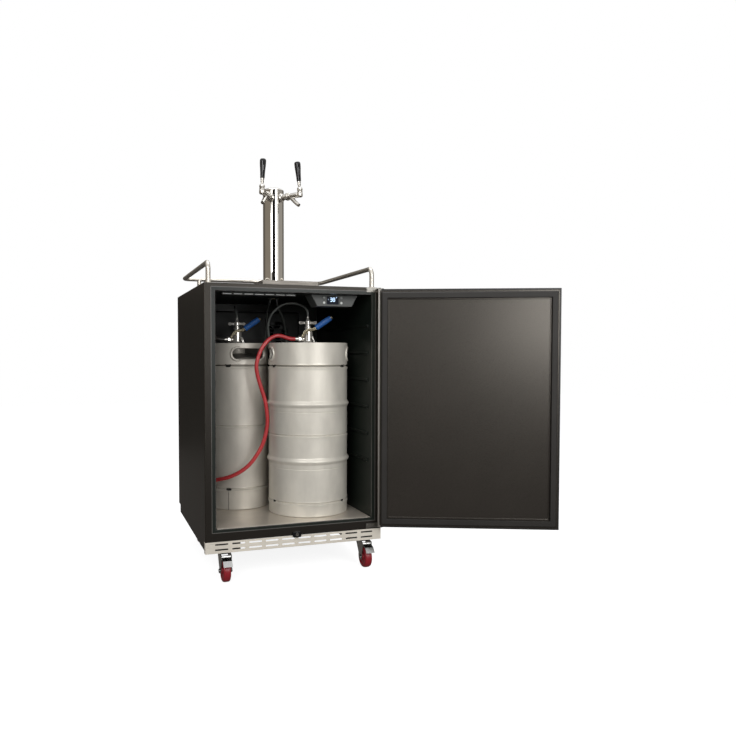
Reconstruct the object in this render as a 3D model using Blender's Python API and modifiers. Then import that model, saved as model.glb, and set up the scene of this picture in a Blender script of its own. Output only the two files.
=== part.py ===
"""Freestanding two-keg beer cooler with a draft tower, in metres, +Z up.

The origin is the centre of the base pan's underside, and the front faces -Y.
The door, the casters, the taps and the keg couplers each hang on an empty,
so that a moving piece turns about its parent or its own origin.
"""
import math

import bmesh
import bpy
from mathutils import Matrix, Vector

# Shared clearances and cutting overrun
GAP = 0.0003
RUN_CLEARANCE = 0.0005
OVERRUN = 0.004
WELD_DISTANCE = 0.00001

# Cabinet
CABINET_WIDTH = 0.610
CABINET_DEPTH = 0.640
CABINET_HEIGHT = 0.831
SHEET = 0.001
CASE_EDGE = 0.002
FRAME_SIDE = 0.022
FRAME_TOP = 0.013
FRAME_BOTTOM = 0.029
BACK_SHEET = 0.0012
PAN_SHEET = 0.002

# Cavity and its liner
SIDE_WALL = 0.036
TOP_WALL = 0.025
LINER_SHEET = 0.0015
LIP_OVERLAP = 0.0128
FLOOR_HEIGHT = 0.041
FLOOR_PLATE = 0.0015
FLOOR_SIDE_GAP = 0.003
FLOOR_FRONT_INSET = 0.003
CAVITY_BACK_WALL = 0.050
HUMP_DEPTH = 0.150
HUMP_HEIGHT = 0.262
HUMP_WALL = 0.025
LEDGE_COUNT = 6
LEDGE_FIRST = 0.227
LEDGE_LAST_DROP = 0.112
LEDGE_RISE = 0.011
LEDGE_LIP = 0.005
LEDGE_REACH = 0.006
LEDGE_FRONT_INSET = 0.030
LEDGE_BACK_INSET = 0.018

# Base frame and kick grille
KICK_HEIGHT = 0.038
KICK_SHEET = 0.0012
KICK_RETURN = 0.020
SLOT_COUNT = 10
SLOT_PITCH = 0.056
SLOT_LENGTH = 0.043
SLOT_HEIGHT = 0.005
SLOT_ROW_DROPS = (0.0095, 0.0265)
RUNNER_WIDTH = 0.110
RUNNER_INSET = 0.005
RUNNER_SHEET = 0.002
CROSS_MEMBER_DEPTH = 0.030

# Casters
CASTER_HEIGHT = 0.105
CASTER_INSET_LEFT = 0.072
CASTER_INSET_RIGHT = 0.043
CASTER_INSET_ENDS = 0.064
CASTER_PLATE_SIZE = 0.066
CASTER_PLATE = 0.0025
CASTER_TRAIL = 0.028
RACE_RADIUS = 0.024
RACE_DEPTH = 0.006
WHEEL_RADIUS = 0.0375
WHEEL_WIDTH = 0.026
WHEEL_SHOULDER = 0.004
WHEEL_DISH = 0.003
HUB_RADIUS = 0.013
RIM_RADIUS = 0.027
AXLE_RADIUS = 0.004
AXLE_HEAD_RADIUS = 0.0065
AXLE_HEAD = 0.003
FORK_WIDTH = 0.036
CHEEK = 0.0025
FORK_TOP_HALF = 0.021
FORK_FOOT = 0.010
FORK_BRIDGE = 0.003
PEDAL_PIVOT_RADIUS = 0.0035
PEDAL_PIVOT_AHEAD = 0.012
PEDAL_PIVOT_RISE = 0.0485
PEDAL_WIDTH = 0.030
PEDAL_SHEET = 0.003
PEDAL_KNEE_AHEAD = 0.034
PEDAL_KNEE_RISE = 0.040
PEDAL_TIP_AHEAD = 0.047
PEDAL_TIP_RISE = 0.024

# Machine compartment at the bottom rear
COMPRESSOR_FROM_SIDE = 0.140
COMPRESSOR_RADIUS = 0.054
COMPRESSOR_HEIGHT = 0.152
COMPRESSOR_SEAM_HEIGHT = 0.080
COMPRESSOR_SEAM = 0.003
COMPRESSOR_DOME = 0.022
COMPRESSOR_FOOT_RADIUS = 0.008
COMPRESSOR_FOOT_HEIGHT = 0.010
COMPRESSOR_FOOT_SPREAD_X = 0.056
COMPRESSOR_FOOT_SPREAD_Y = 0.038
COMPRESSOR_BASE_MARGIN = 0.011
COMPRESSOR_BASE_SHEET = 0.003
CONDENSER_FROM_SIDE = 0.075
CONDENSER_FIN_COUNT = 12
CONDENSER_FIN = 0.0015
CONDENSER_FIN_PITCH = 0.0118
CONDENSER_BASE = 0.003
CONDENSER_HEIGHT = 0.150
CONDENSER_DEPTH = 0.096
SHROUD_SHEET = 0.002
SHROUD_CLEARANCE = 0.004
SPOKE_WIDTH = 0.008
MOTOR_RADIUS = 0.016
MOTOR_DEPTH = 0.012
CONDENSER_FAN_RADIUS = 0.042
FAN_HUB_RADIUS = 0.015
FAN_HUB_DEPTH = 0.014
FAN_BLADE = 0.0015
FAN_BLADE_COUNT = 5
FAN_BLADE_PITCH = math.radians(32)
FAN_CHORD = 0.020

# Back cover
BACK_SLOT_COLUMNS = 2
BACK_SLOT_ROWS = 7
BACK_SLOT_LENGTH = 0.220
BACK_SLOT_HEIGHT = 0.006
BACK_SLOT_PITCH = 0.026
BACK_SLOT_FIRST = 0.036
BACK_SLOT_SPREAD = 0.260

# Evaporator cover and its fan, on the cavity's back wall
EVAPORATOR_WIDTH = 0.360
EVAPORATOR_HEIGHT = 0.345
EVAPORATOR_DROP = 0.031
EVAPORATOR_DEPTH = 0.034
EVAPORATOR_SHEET = 0.002
EVAPORATOR_EDGE = 0.006
EVAPORATOR_FAN_X = 0.085
EVAPORATOR_FAN_DROP = 0.085
EVAPORATOR_FAN_RADIUS = 0.046
EVAPORATOR_BAR_COUNT = 6
EVAPORATOR_BAR = 0.004
INTAKE_COUNT = 6
INTAKE_PITCH = 0.022
INTAKE_HEIGHT = 0.008
INTAKE_LENGTH = 0.250
INTAKE_RISE = 0.030

# Control unit and air vent under the ceiling
CONTROL_WIDTH = 0.171
CONTROL_FROM_SIDE = 0.031
CONTROL_HEIGHT = 0.039
CONTROL_TAPER = 0.022
CONTROL_FRONT_INSET = 0.050
CONTROL_DEPTH = 0.070
CONTROL_EDGE = 0.0015
BUTTON_RADIUS = 0.0042
BUTTON_PROUD = 0.0013
BUTTON_LENGTH = 0.0048
BUTTON_TRAVEL = 0.001
BUTTON_COLUMNS_FROM_RIGHT = (0.124, 0.061)
BUTTON_ROW_DROPS = (0.0095, 0.0270)
DISPLAY_FROM_RIGHT = 0.0710
DISPLAY_WIDTH = 0.0435
DISPLAY_TOP_DROP = 0.0045
DISPLAY_BOTTOM_DROP = 0.0325
DISPLAY_RECESS = 0.0006
VENT_FROM_SIDE = 0.031
VENT_WIDTH = 0.252
VENT_FRONT_INSET = 0.050
VENT_DEPTH = 0.020
VENT_DROP = 0.0085
VENT_SLOT_COUNT = 7
VENT_SLOT_HEIGHT = 0.0032
VENT_SLOT_DROP = 0.0045
VENT_SLOT_LENGTH_SHARE = 0.82

# Guard rail
RAIL_RADIUS = 0.008
RAIL_RISE = 0.069
RAIL_SIDE_INSET = 0.0205
RAIL_FRONT_INSET = 0.038
RAIL_BACK_INSET = 0.043
RAIL_BEND = 0.024
RAIL_BEND_STEPS = 4
RAIL_REAR_POST_INSET = 0.080
RAIL_FOOT_RADIUS = 0.014
RAIL_FOOT = 0.003

# Draft tower
TOWER_BACK_FROM_FRONT = 0.290
TOWER_RADIUS = 0.038
TOWER_WALL = 0.0015
TOWER_HEIGHT = 0.378
TOWER_CAP_RISE = 0.010
TOWER_CAP_RIM = 0.003
TOWER_FLANGE_RADIUS = 0.057
TOWER_FLANGE = 0.007
TOWER_FLANGE_CHAMFER = 0.002
SHANK_DROP = 0.039
TAP_SPREAD = math.radians(33)
LINE_HOLE_RADIUS = 0.025

# Tap
SHANK_RADIUS = 0.010
TAIL_RADIUS = 0.0045
TAIL_ROUTE = ((0.030, 0.0), (0.020, -0.0008), (0.0142, -0.0050), (0.0125, -0.012), (0.0125, -0.030))
COLLAR_RADIUS = 0.0155
COLLAR_DEPTH = 0.005
NUT_RADIUS = 0.0135
NUT_START = 0.065
NUT_END = 0.075
TAP_BODY_RADIUS = 0.0095
TAP_REACH = 0.1265
BONNET_RADIUS = 0.0105
BONNET_BALL = 0.0150
BONNET_SHOULDER_SHARES = ((0.0, 1.0), (0.42, 0.905), (0.70, 0.714))
BONNET_FOOT = 0.010
BONNET_FOOT_SHARES = ((1.0, -0.55), (0.72, -0.90), (0.0, -1.0))
LEVER_RISE = 0.012
SPOUT_RADIUS = 0.0072
SPOUT_BORE = 0.0050
SPOUT_BORE_DEPTH = 0.010
SPOUT_ROUTE = ((0.085, -0.004), (0.095, -0.014), (0.108, -0.026), (0.122, -0.037))
FERRULE_RADIUS = 0.0062
FERRULE_NECK_RADIUS = 0.0048
FERRULE_LENGTH = 0.0200
TAP_HANDLE_LENGTH = 0.069
TAP_HANDLE_TOP_RADIUS = 0.0112
TAP_HANDLE_FOOT_RADIUS = 0.0078
TAP_HANDLE_LEAN = math.radians(6.5)

# Drip tray
TRAY_WIDTH = 0.200
TRAY_DEPTH = 0.130
TRAY_HEIGHT = 0.019
TRAY_FRONT_INSET = 0.060
TRAY_WALL = 0.0018
TRAY_LEDGE = 0.005
TRAY_EDGE = 0.004
GRATE_SHEET = 0.0015
GRATE_DROP = 0.0020
GRATE_SLOT_COUNT = 9
GRATE_SLOT_PITCH = 0.0195
GRATE_SLOT_WIDTH = 0.006
GRATE_SLOT_MARGIN = 0.014

# Door, measured from its hinge pin in the closed position
DOOR_SIDE_INSET = 0.0025
DOOR_BOTTOM = 0.0135
DOOR_TOP_DROP = 0.0085
DOOR_THICKNESS = 0.038
DOOR_STANDOFF = 0.012
DOOR_OPEN = math.radians(157.2)
PIN_FROM_EDGE = 0.010
PIN_FROM_INNER_FACE = 0.015
PIN_RADIUS = 0.004
PIN_LENGTH = 0.013
PIN_CLEARANCE = 0.0004
DOOR_SHEET = 0.001
DOOR_EDGE = 0.002
DOOR_RETURN = 0.0055
DOOR_PANEL_PROUD = 0.0015
DOOR_PANEL_DEPTH = 0.003
GASKET_INSET = 0.0108
GASKET_WIDTH = 0.020
GASKET_CHANNEL_DEPTH = 0.003
GASKET_EDGE = 0.003
GASKET_GAP_TO_FRAME = 0.0008
PANEL_RECESS_INSET = 0.036
PANEL_RECESS = 0.002
HANDLE_RADIUS = 0.010
HANDLE_STANDOFF = 0.046
HANDLE_FROM_EDGE = 0.045
HANDLE_LENGTH = 0.440
HANDLE_DROP = 0.0825
HANDLE_POST_INSET = 0.050
HANDLE_POST_RADIUS = 0.007
HANDLE_FOOT_RADIUS = 0.013
HANDLE_FOOT = 0.004
HINGE_LEAF = 0.002
HINGE_LEAF_WIDTH = 0.052
HINGE_LEAF_HEIGHT = 0.016
HINGE_LEAF_SIDE_INSET = 0.004
HINGE_TONGUE = 0.0025
HINGE_TONGUE_WIDTH = 0.018
HINGE_BOTTOM_LEAF_FOOT = 0.004
HINGE_TOP_LEAF_INSET = 0.0008
HINGE_SCREW_RADIUS = 0.004
HINGE_SCREW = 0.0016
HINGE_SCREW_INSET = 0.006

# Lock on the bottom rail
LOCK_WIDTH = 0.029
LOCK_TOP = 0.0125
LOCK_BOTTOM = -0.006
LOCK_PROUD = 0.007
LOCK_EDGE = 0.004
KEY_PLUG_RADIUS = 0.0055
KEY_PLUG_DEPTH = 0.005
KEY_SLOT_WIDTH = 0.0012
KEY_SLOT_HEIGHT = 0.006
KEY_SLOT_DEPTH = 0.002

# Kegs: radius, place and top height of each
KEG_TOP = 0.643
KEG_FOOT_GAP = 0.0003
KEG_WALL = 0.0025
KEG_SHELL = 0.002
KEG_BORE_RADIUS = 0.022
KEG_COLLAR_HEIGHT = 0.082
KEG_CHIME_HEIGHT = 0.045
KEG_SEAM = 0.0025
KEG_RIM_ROLL = 0.0035
KEG_DOME_DROP = 0.078
KEG_DOME_RISE = 0.040
KEG_NECK_RADIUS = 0.029
KEG_NECK_BELOW_TOP = 0.018
KEG_FOOT_RECESS = 0.028
RIGHT_KEG_RADIUS = 0.1415
RIGHT_KEG_X = 0.100
RIGHT_KEG_FROM_FRONT = 0.189
RIGHT_KEG_HOOPS = (0.429, 0.2375)
HOOP_PROUD = 0.0035
HOOP_HALF = 0.008
LEFT_KEG_RADIUS = 0.1175
LEFT_KEG_X = -0.122
LEFT_KEG_TO_STEP = 0.0085
LEFT_KEG_SEAMS = (0.343,)
HAND_HOLE_WIDTH = 0.120
HAND_HOLE_HEIGHT = 0.042
HAND_HOLE_DROP = 0.039
RIGHT_HAND_HOLE = math.radians(170)
LEFT_HAND_HOLE = math.radians(-74)

# Keg coupler, measured from the neck's top
COUPLER_LEVER_TURN = math.radians(-19)
COUPLER_LEVER_RISE = math.radians(35)
COUPLER_FLANGE_RADIUS = 0.030
COUPLER_FLANGE = 0.011
COUPLER_SKIRT_RADIUS = 0.0245
COUPLER_SKIRT_TOP = 0.020
COUPLER_BODY_RADIUS = 0.0178
COUPLER_BODY_TOP = 0.061
COUPLER_STEM_RADIUS = 0.0125
WING_NUT_BOTTOM = 0.082
WING_NUT_TOP = 0.098
WING_NUT_RADIUS = 0.0148
WING_SPAN = 0.058
WING_HEIGHT = 0.009
WING_THICKNESS = 0.006
NIPPLE_CONE_RADIUS = 0.0085
NIPPLE_RADIUS = 0.0045
NIPPLE_TOP = 0.1130
GAS_INLET_HEIGHT = 0.032
GAS_INLET_RADIUS = 0.008
GAS_NUT_RADIUS = 0.0110
GAS_NUT_START = 0.025
GAS_NUT_END = 0.037
GAS_INLET_REACH = 0.048
LEVER_PIVOT_HEIGHT = 0.051
YOKE_ARM = 0.0055
YOKE_THICKNESS = 0.012
YOKE_BACK = 0.011
YOKE_MOUTH = 0.028
YOKE_FRONT = 0.034
LEVER_ROD_RADIUS = 0.005
GRIP_START = 0.036
GRIP_END = 0.100
GRIP_RADIUS = 0.0105
GRIP_GROOVE = 0.0015
GRIP_GROOVE_SHARES = (0.16, 0.28)
GRIP_SOFT_SHARE = 0.06
LEVER_END_RADIUS = 0.009
LEVER_END = 0.106

# Gas bulkhead on the back wall
BULKHEAD_FROM_SIDE = 0.033
BULKHEAD_HEIGHTS = (0.355, 0.470)
BULKHEAD_TUBE_RADIUS = 0.006
BULKHEAD_FLANGE_RADIUS = 0.011
BULKHEAD_REACH_IN = 0.007
BULKHEAD_REACH_OUT = 0.022
BULKHEAD_PLATE = 0.003
BULKHEAD_MARGIN = 0.017

# Hoses: diameters and hand-chosen routes in real sizes
GAS_HOSE_DIAMETER = 0.014
BEER_LINE_DIAMETER = 0.008
GAS_HOSE_STEP = 0.038
BEER_LINE_STEP = 0.024
RIGHT_GAS_ROUTE = (
    (0.0517, -0.131, 0.6573), (0.040, -0.131, 0.6573), (0.023, -0.1313, 0.6605), (0.002, -0.132, 0.667),
    (-0.022, -0.133, 0.667), (-0.048, -0.134, 0.652), (-0.070, -0.135, 0.625), (-0.084, -0.135, 0.593),
    (-0.091, -0.135, 0.560),
    (-0.086, -0.135, 0.525), (-0.074, -0.135, 0.484), (-0.062, -0.135, 0.446), (-0.055, -0.136, 0.410),
    (-0.052, -0.137, 0.370), (-0.056, -0.137, 0.332), (-0.067, -0.136, 0.291), (-0.087, -0.134, 0.252),
    (-0.115, -0.128, 0.214), (-0.149, -0.118, 0.186), (-0.184, -0.101, 0.168), (-0.217, -0.072, 0.156),
    (-0.242, -0.032, 0.146), (-0.256, 0.014, 0.134), (-0.2600, 0.062, 0.129), (-0.2580, 0.104, 0.144),
    (-0.253, 0.135, 0.185), (-0.248, 0.149, 0.235), (-0.244, 0.159, 0.283), (-0.240, 0.182, 0.325),
    (-0.237, 0.214, 0.349), (-0.236, 0.2360, 0.3545), (-0.236, 0.2490, 0.355), (-0.236, 0.2627, 0.355),
)
LEFT_GAS_ROUTE = (
    (-0.1703, 0.044, 0.6573), (-0.182, 0.044, 0.6573), (-0.200, 0.047, 0.662), (-0.220, 0.058, 0.668),
    (-0.238, 0.078, 0.671),
    (-0.250, 0.104, 0.666), (-0.256, 0.138, 0.640), (-0.256, 0.166, 0.600), (-0.252, 0.189, 0.555),
    (-0.245, 0.207, 0.514), (-0.239, 0.228, 0.483), (-0.236, 0.2490, 0.470), (-0.236, 0.2627, 0.470),
)
RIGHT_BEER_ROUTE = (
    (0.100, -0.131, 0.7386), (0.100, -0.131, 0.7480), (0.0985, -0.131, 0.757), (0.090, -0.131, 0.769),
    (0.073, -0.128, 0.779), (0.052, -0.122, 0.785), (0.030, -0.113, 0.785), (0.010, -0.103, 0.778),
    (-0.010, -0.091, 0.762),
    (-0.024, -0.078, 0.740), (-0.029, -0.064, 0.712), (-0.025, -0.050, 0.682), (-0.017, -0.038, 0.650),
    (-0.008, -0.022, 0.612), (0.003, -0.003, 0.572), (0.018, 0.020, 0.538), (0.036, 0.042, 0.516),
    (0.056, 0.062, 0.512), (0.074, 0.078, 0.530), (0.084, 0.088, 0.566), (0.086, 0.090, 0.610),
    (0.082, 0.084, 0.655), (0.073, 0.070, 0.698), (0.058, 0.047, 0.735), (0.038, 0.018, 0.762),
    (0.022, -0.008, 0.781), (0.0125, -0.026, 0.802), (0.0085, -0.036, 0.832), (0.0072, -0.0398, 0.880),
    (0.0068, -0.0405, 0.950), (0.0068, -0.0405, 1.050), (0.0068, -0.0405, 1.1397),
)
LEFT_BEER_ROUTE = (
    (-0.122, 0.044, 0.7386), (-0.122, 0.044, 0.7480), (-0.1225, 0.047, 0.758), (-0.124, 0.058, 0.771),
    (-0.122, 0.079, 0.780),
    (-0.116, 0.104, 0.780), (-0.106, 0.132, 0.768), (-0.095, 0.158, 0.742), (-0.084, 0.178, 0.705),
    (-0.073, 0.192, 0.660), (-0.061, 0.201, 0.612), (-0.046, 0.206, 0.568), (-0.026, 0.207, 0.542),
    (-0.004, 0.204, 0.546), (0.012, 0.196, 0.578), (0.018, 0.184, 0.622), (0.018, 0.166, 0.668),
    (0.014, 0.138, 0.708), (0.008, 0.102, 0.742), (0.000, 0.060, 0.768), (-0.006, 0.018, 0.783),
    (-0.0085, -0.014, 0.800), (-0.0085, -0.031, 0.830), (-0.0073, -0.0394, 0.878),
    (-0.0068, -0.0405, 0.950), (-0.0068, -0.0405, 1.050), (-0.0068, -0.0405, 1.1397),
)

# Derived places
HALF_WIDTH = CABINET_WIDTH / 2
FRONT = -CABINET_DEPTH / 2
BACK = CABINET_DEPTH / 2
CAVITY_HALF = HALF_WIDTH - SIDE_WALL
CEILING = CABINET_HEIGHT - TOP_WALL
CAVITY_FLOOR = FLOOR_HEIGHT - FLOOR_PLATE - GAP
CAVITY_BACK = BACK - CAVITY_BACK_WALL
HUMP_FRONT = BACK - HUMP_DEPTH
MACHINE_FRONT = HUMP_FRONT + HUMP_WALL
MACHINE_TOP = HUMP_HEIGHT - HUMP_WALL
LEDGE_PITCH = (CEILING - LEDGE_FIRST - LEDGE_LAST_DROP) / (LEDGE_COUNT - 1)
COMPRESSOR_X = HALF_WIDTH - COMPRESSOR_FROM_SIDE
CONDENSER_LEFT = CONDENSER_FROM_SIDE - HALF_WIDTH
EVAPORATOR_TOP = CEILING - EVAPORATOR_DROP
EVAPORATOR_BOTTOM = EVAPORATOR_TOP - EVAPORATOR_HEIGHT
EVAPORATOR_FAN_Z = EVAPORATOR_TOP - EVAPORATOR_FAN_DROP
INTAKE_FIRST = EVAPORATOR_BOTTOM + INTAKE_RISE
CONTROL_RIGHT = CAVITY_HALF - CONTROL_FROM_SIDE
CONTROL_LEFT = CONTROL_RIGHT - CONTROL_WIDTH
BUTTON_COLUMNS = [CONTROL_RIGHT - column for column in BUTTON_COLUMNS_FROM_RIGHT]
DISPLAY_RIGHT = CONTROL_RIGHT - DISPLAY_FROM_RIGHT
DISPLAY_LEFT = DISPLAY_RIGHT - DISPLAY_WIDTH
VENT_LEFT = VENT_FROM_SIDE - CAVITY_HALF
VENT_RIGHT = VENT_LEFT + VENT_WIDTH
BULKHEAD_X = BULKHEAD_FROM_SIDE - CAVITY_HALF
DOOR_WIDTH = CABINET_WIDTH - 2 * DOOR_SIDE_INSET
DOOR_TOP = CABINET_HEIGHT - DOOR_TOP_DROP
HANDLE_TOP = DOOR_TOP - HANDLE_DROP
HANDLE_BOTTOM = HANDLE_TOP - HANDLE_LENGTH
LEFT_KEG_FROM_FRONT = HUMP_FRONT - LEFT_KEG_TO_STEP - LEFT_KEG_RADIUS - FRONT
TOWER_Y = FRONT + TOWER_BACK_FROM_FRONT
SHANK_HEIGHT = CABINET_HEIGHT + TOWER_HEIGHT - SHANK_DROP
RUNNER_FOOT = -KICK_HEIGHT
AXLE_HEIGHT = RUNNER_FOOT - CASTER_HEIGHT + WHEEL_RADIUS
PIN_X = HALF_WIDTH - DOOR_SIDE_INSET - PIN_FROM_EDGE
PIN_Y = FRONT - DOOR_STANDOFF - PIN_FROM_INNER_FACE
NECK_TOP = KEG_TOP - KEG_NECK_BELOW_TOP
KEG_FOOT = FLOOR_HEIGHT + KEG_FOOT_GAP
COUPLER_BASE = NECK_TOP + GAP

# Facets of round forms
KEG_SIDES = 28
TUBE_SIDES = 20
WHEEL_SIDES = 20
SMALL_SIDES = 14
PIN_SIDES = 10

AXIS_TURN = {
    "X": Matrix(((0, 0, 1, 0), (1, 0, 0, 0), (0, 1, 0, 0), (0, 0, 0, 1))),
    "Y": Matrix.Rotation(math.radians(90), 4, "X"),
    "Z": Matrix.Identity(4),
}


def clear_scene():
    """Remove what the opened file holds."""
    for item in list(bpy.data.objects):
        bpy.data.objects.remove(item)


def new_collection(name):
    """Make a collection under the scene's own one."""
    collection = bpy.data.collections.new(name)
    bpy.context.scene.collection.children.link(collection)
    return collection


def finish(name, colour, roughness, metallic):
    """Make a Principled material."""
    material = bpy.data.materials.new(name)
    material.use_nodes = True
    shader = material.node_tree.nodes["Principled BSDF"]
    shader.inputs["Base Color"].default_value = (*colour, 1.0)
    shader.inputs["Roughness"].default_value = roughness
    shader.inputs["Metallic"].default_value = metallic
    return material


clear_scene()
PARTS = new_collection("kegerator")
CUTTERS = new_collection("cutters")

BLACK_STEEL = finish("black_steel", (0.020, 0.019, 0.018), 0.45, 0.0)
DARK_LINER = finish("dark_liner", (0.022, 0.026, 0.024), 0.35, 0.0)
FOAM = finish("foam", (0.80, 0.72, 0.50), 0.9, 0.0)
BRUSHED = finish("brushed_stainless", (0.56, 0.53, 0.49), 0.35, 1.0)
POLISHED = finish("polished_stainless", (0.72, 0.70, 0.67), 0.12, 1.0)
KEG_STEEL = finish("keg_stainless", (0.62, 0.59, 0.55), 0.30, 1.0)
GALVANISED = finish("galvanised_steel", (0.50, 0.51, 0.52), 0.5, 1.0)
BLACK_PLASTIC = finish("black_plastic", (0.015, 0.015, 0.016), 0.3, 0.0)
GREY_PLASTIC = finish("grey_plastic", (0.10, 0.105, 0.10), 0.4, 0.0)
PALE_BUTTON = finish("pale_button", (0.45, 0.46, 0.45), 0.4, 0.0)
GASKET_RUBBER = finish("gasket_rubber", (0.045, 0.044, 0.042), 0.6, 0.0)
RED_RUBBER = finish("red_hose", (0.45, 0.025, 0.035), 0.35, 0.0)
RED_TYRE = finish("red_tyre", (0.40, 0.02, 0.03), 0.4, 0.0)
BLUE_GRIP = finish("blue_grip", (0.02, 0.10, 0.32), 0.35, 0.0)
CLEAR_LINE = finish("beer_line", (0.30, 0.32, 0.28), 0.25, 0.0)
BRASS = finish("pale_brass", (0.70, 0.62, 0.42), 0.25, 1.0)
COPPER_BLACK = finish("compressor_black", (0.01, 0.01, 0.01), 0.35, 0.0)


def add_object(name, mesh, parent=None):
    """Link a mesh object, which stays a cutter until it is given a finish."""
    item = bpy.data.objects.new(name, mesh)
    item.parent = parent
    item.hide_render = True
    item.display_type = "WIRE"
    CUTTERS.objects.link(item)
    return item


def part(item, material, round_angle=None):
    """Move a finished solid among the parts, with its finish and shading."""
    CUTTERS.objects.unlink(item)
    PARTS.objects.link(item)
    item.hide_render = False
    item.display_type = "TEXTURED"
    item.data.materials.clear()
    item.data.materials.append(material)
    if round_angle is not None:
        item.data.shade_smooth()
        item.data.set_sharp_from_angle(angle=round_angle)
    return item


ROUND = math.radians(35)


def pivot(name, place, turn=None, parent=None):
    """Make an empty that carries a moving group."""
    empty = bpy.data.objects.new(name, None)
    empty.location = place
    if turn is not None:
        empty.rotation_euler = turn
    empty.parent = parent
    CUTTERS.objects.link(empty)
    return empty


def shift(item, origin):
    """Put an object's origin at a point of its parent's space, leaving its shape in place."""
    item.data.transform(Matrix.Translation(-Vector(origin)))
    item.location = origin
    return item


def block(name, low, high, parent=None):
    """A box between two corners."""
    middle = (Vector(low) + Vector(high)) / 2
    size = Vector(high) - Vector(low)
    shape = bmesh.new()
    bmesh.ops.create_cube(shape, size=1.0)
    bmesh.ops.scale(shape, vec=size, verts=shape.verts)
    bmesh.ops.translate(shape, vec=middle, verts=shape.verts)
    mesh = bpy.data.meshes.new(name)
    shape.to_mesh(mesh)
    shape.free()
    return add_object(name, mesh, parent)


def drum(name, start, end, radius, sides=SMALL_SIDES, parent=None, radius_end=None):
    """A round bar or cone between two points."""
    run = Vector(end) - Vector(start)
    shape = bmesh.new()
    bmesh.ops.create_cone(
        shape, cap_ends=True, segments=sides, radius1=radius,
        radius2=radius if radius_end is None else radius_end, depth=run.length)
    turn = Vector((0, 0, 1)).rotation_difference(run).to_matrix().to_4x4()
    middle = (Vector(start) + Vector(end)) / 2
    bmesh.ops.transform(shape, matrix=Matrix.Translation(middle) @ turn, verts=shape.verts)
    mesh = bpy.data.meshes.new(name)
    shape.to_mesh(mesh)
    shape.free()
    return add_object(name, mesh, parent)


def evaluated_mesh(item):
    """Read an object's mesh with its modifiers or curve settings applied, doubles merged."""
    bpy.context.view_layer.update()
    graph = bpy.context.evaluated_depsgraph_get()
    mesh = bpy.data.meshes.new_from_object(item.evaluated_get(graph))
    shape = bmesh.new()
    shape.from_mesh(mesh)
    bmesh.ops.remove_doubles(shape, verts=shape.verts, dist=WELD_DISTANCE)
    bmesh.ops.recalc_face_normals(shape, faces=shape.faces)
    shape.to_mesh(mesh)
    shape.free()
    return mesh


def turned(name, profile, axis="Z", place=(0, 0, 0), sides=TUBE_SIDES, closed=False, parent=None):
    """Turn a profile of (radius, height) points, listed from the top down its outer side."""
    mesh = bpy.data.meshes.new(name)
    count = len(profile)
    edges = [(index, index + 1) for index in range(count - 1)]
    if closed:
        edges.append((count - 1, 0))
    mesh.from_pydata([(radius, 0, height) for radius, height in profile], edges, [])
    item = add_object(name, mesh)
    screw = item.modifiers.new("turn", "SCREW")
    screw.axis = "Z"
    screw.steps = sides
    screw.render_steps = sides
    screw.use_merge_vertices = True
    screw.merge_threshold = WELD_DISTANCE
    solid = evaluated_mesh(item)
    bpy.data.objects.remove(item)
    solid.transform(Matrix.Translation(place) @ AXIS_TURN[axis])
    return add_object(name, solid, parent)


def extruded(name, outline, axis, low, high, parent=None):
    """Extrude a flat outline from low to high along an axis."""
    curve = bpy.data.curves.new(name, "CURVE")
    curve.dimensions = "2D"
    curve.fill_mode = "BOTH"
    curve.extrude = (high - low) / 2
    spline = curve.splines.new("POLY")
    spline.points.add(len(outline) - 1)
    for point, (across, up) in zip(spline.points, outline):
        point.co = (across, up, 0, 1)
    spline.use_cyclic_u = True
    item = bpy.data.objects.new(name, curve)
    CUTTERS.objects.link(item)
    solid = evaluated_mesh(item)
    bpy.data.objects.remove(item)
    offset = Vector((0, 0, (high + low) / 2 * (-1 if axis == "Y" else 1)))
    solid.transform(AXIS_TURN[axis] @ Matrix.Translation(offset))
    return add_object(name, solid, parent)


def bent_tube(name, points, radius, resolution=2, parent=None):
    """A round tube along points, with closed ends, as a mesh."""
    curve = bpy.data.curves.new(name, "CURVE")
    curve.dimensions = "3D"
    curve.bevel_depth = radius
    curve.bevel_resolution = resolution
    curve.use_fill_caps = True
    curve.render_resolution_u = 0
    spline = curve.splines.new("POLY")
    spline.points.add(len(points) - 1)
    for point, place in zip(spline.points, points):
        point.co = (*place, 1)
    item = bpy.data.objects.new(name, curve)
    CUTTERS.objects.link(item)
    solid = evaluated_mesh(item)
    bpy.data.objects.remove(item)
    return add_object(name, solid, parent)


def combine(target, others, operation):
    """Give the target one Boolean modifier for each other shape."""
    for other in others:
        step = target.modifiers.new(operation.lower(), "BOOLEAN")
        step.operation = operation
        step.solver = "EXACT"
        step.object = other
    return target


def cut(target, *others):
    """Take the other shapes out of the target."""
    return combine(target, others, "DIFFERENCE")


def fuse(target, *others):
    """Join the other shapes to the target."""
    return combine(target, others, "UNION")


def soften(item, width, segments=1, picks=None):
    """Bevel an object's edges, all the sharp ones or those that a test picks."""
    bevel = item.modifiers.new("soft_edges", "BEVEL")
    bevel.width = width
    bevel.segments = segments
    if picks is None:
        bevel.limit_method = "ANGLE"
        return item
    bevel.limit_method = "WEIGHT"
    shape = bmesh.new()
    shape.from_mesh(item.data)
    weights = shape.edges.layers.float.new("bevel_weight_edge")
    for edge in shape.edges:
        start, end = (vertex.co for vertex in edge.verts)
        edge[weights] = 1.0 if picks((start + end) / 2, end - start) else 0.0
    shape.to_mesh(item.data)
    shape.free()
    return item


def arc(centre, radius, start, end, steps):
    """Points of an arc in a plane, angles in degrees."""
    angles = [math.radians(start + (end - start) * step / steps) for step in range(steps + 1)]
    return [(centre[0] + radius * math.cos(a), centre[1] + radius * math.sin(a)) for a in angles]


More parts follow.
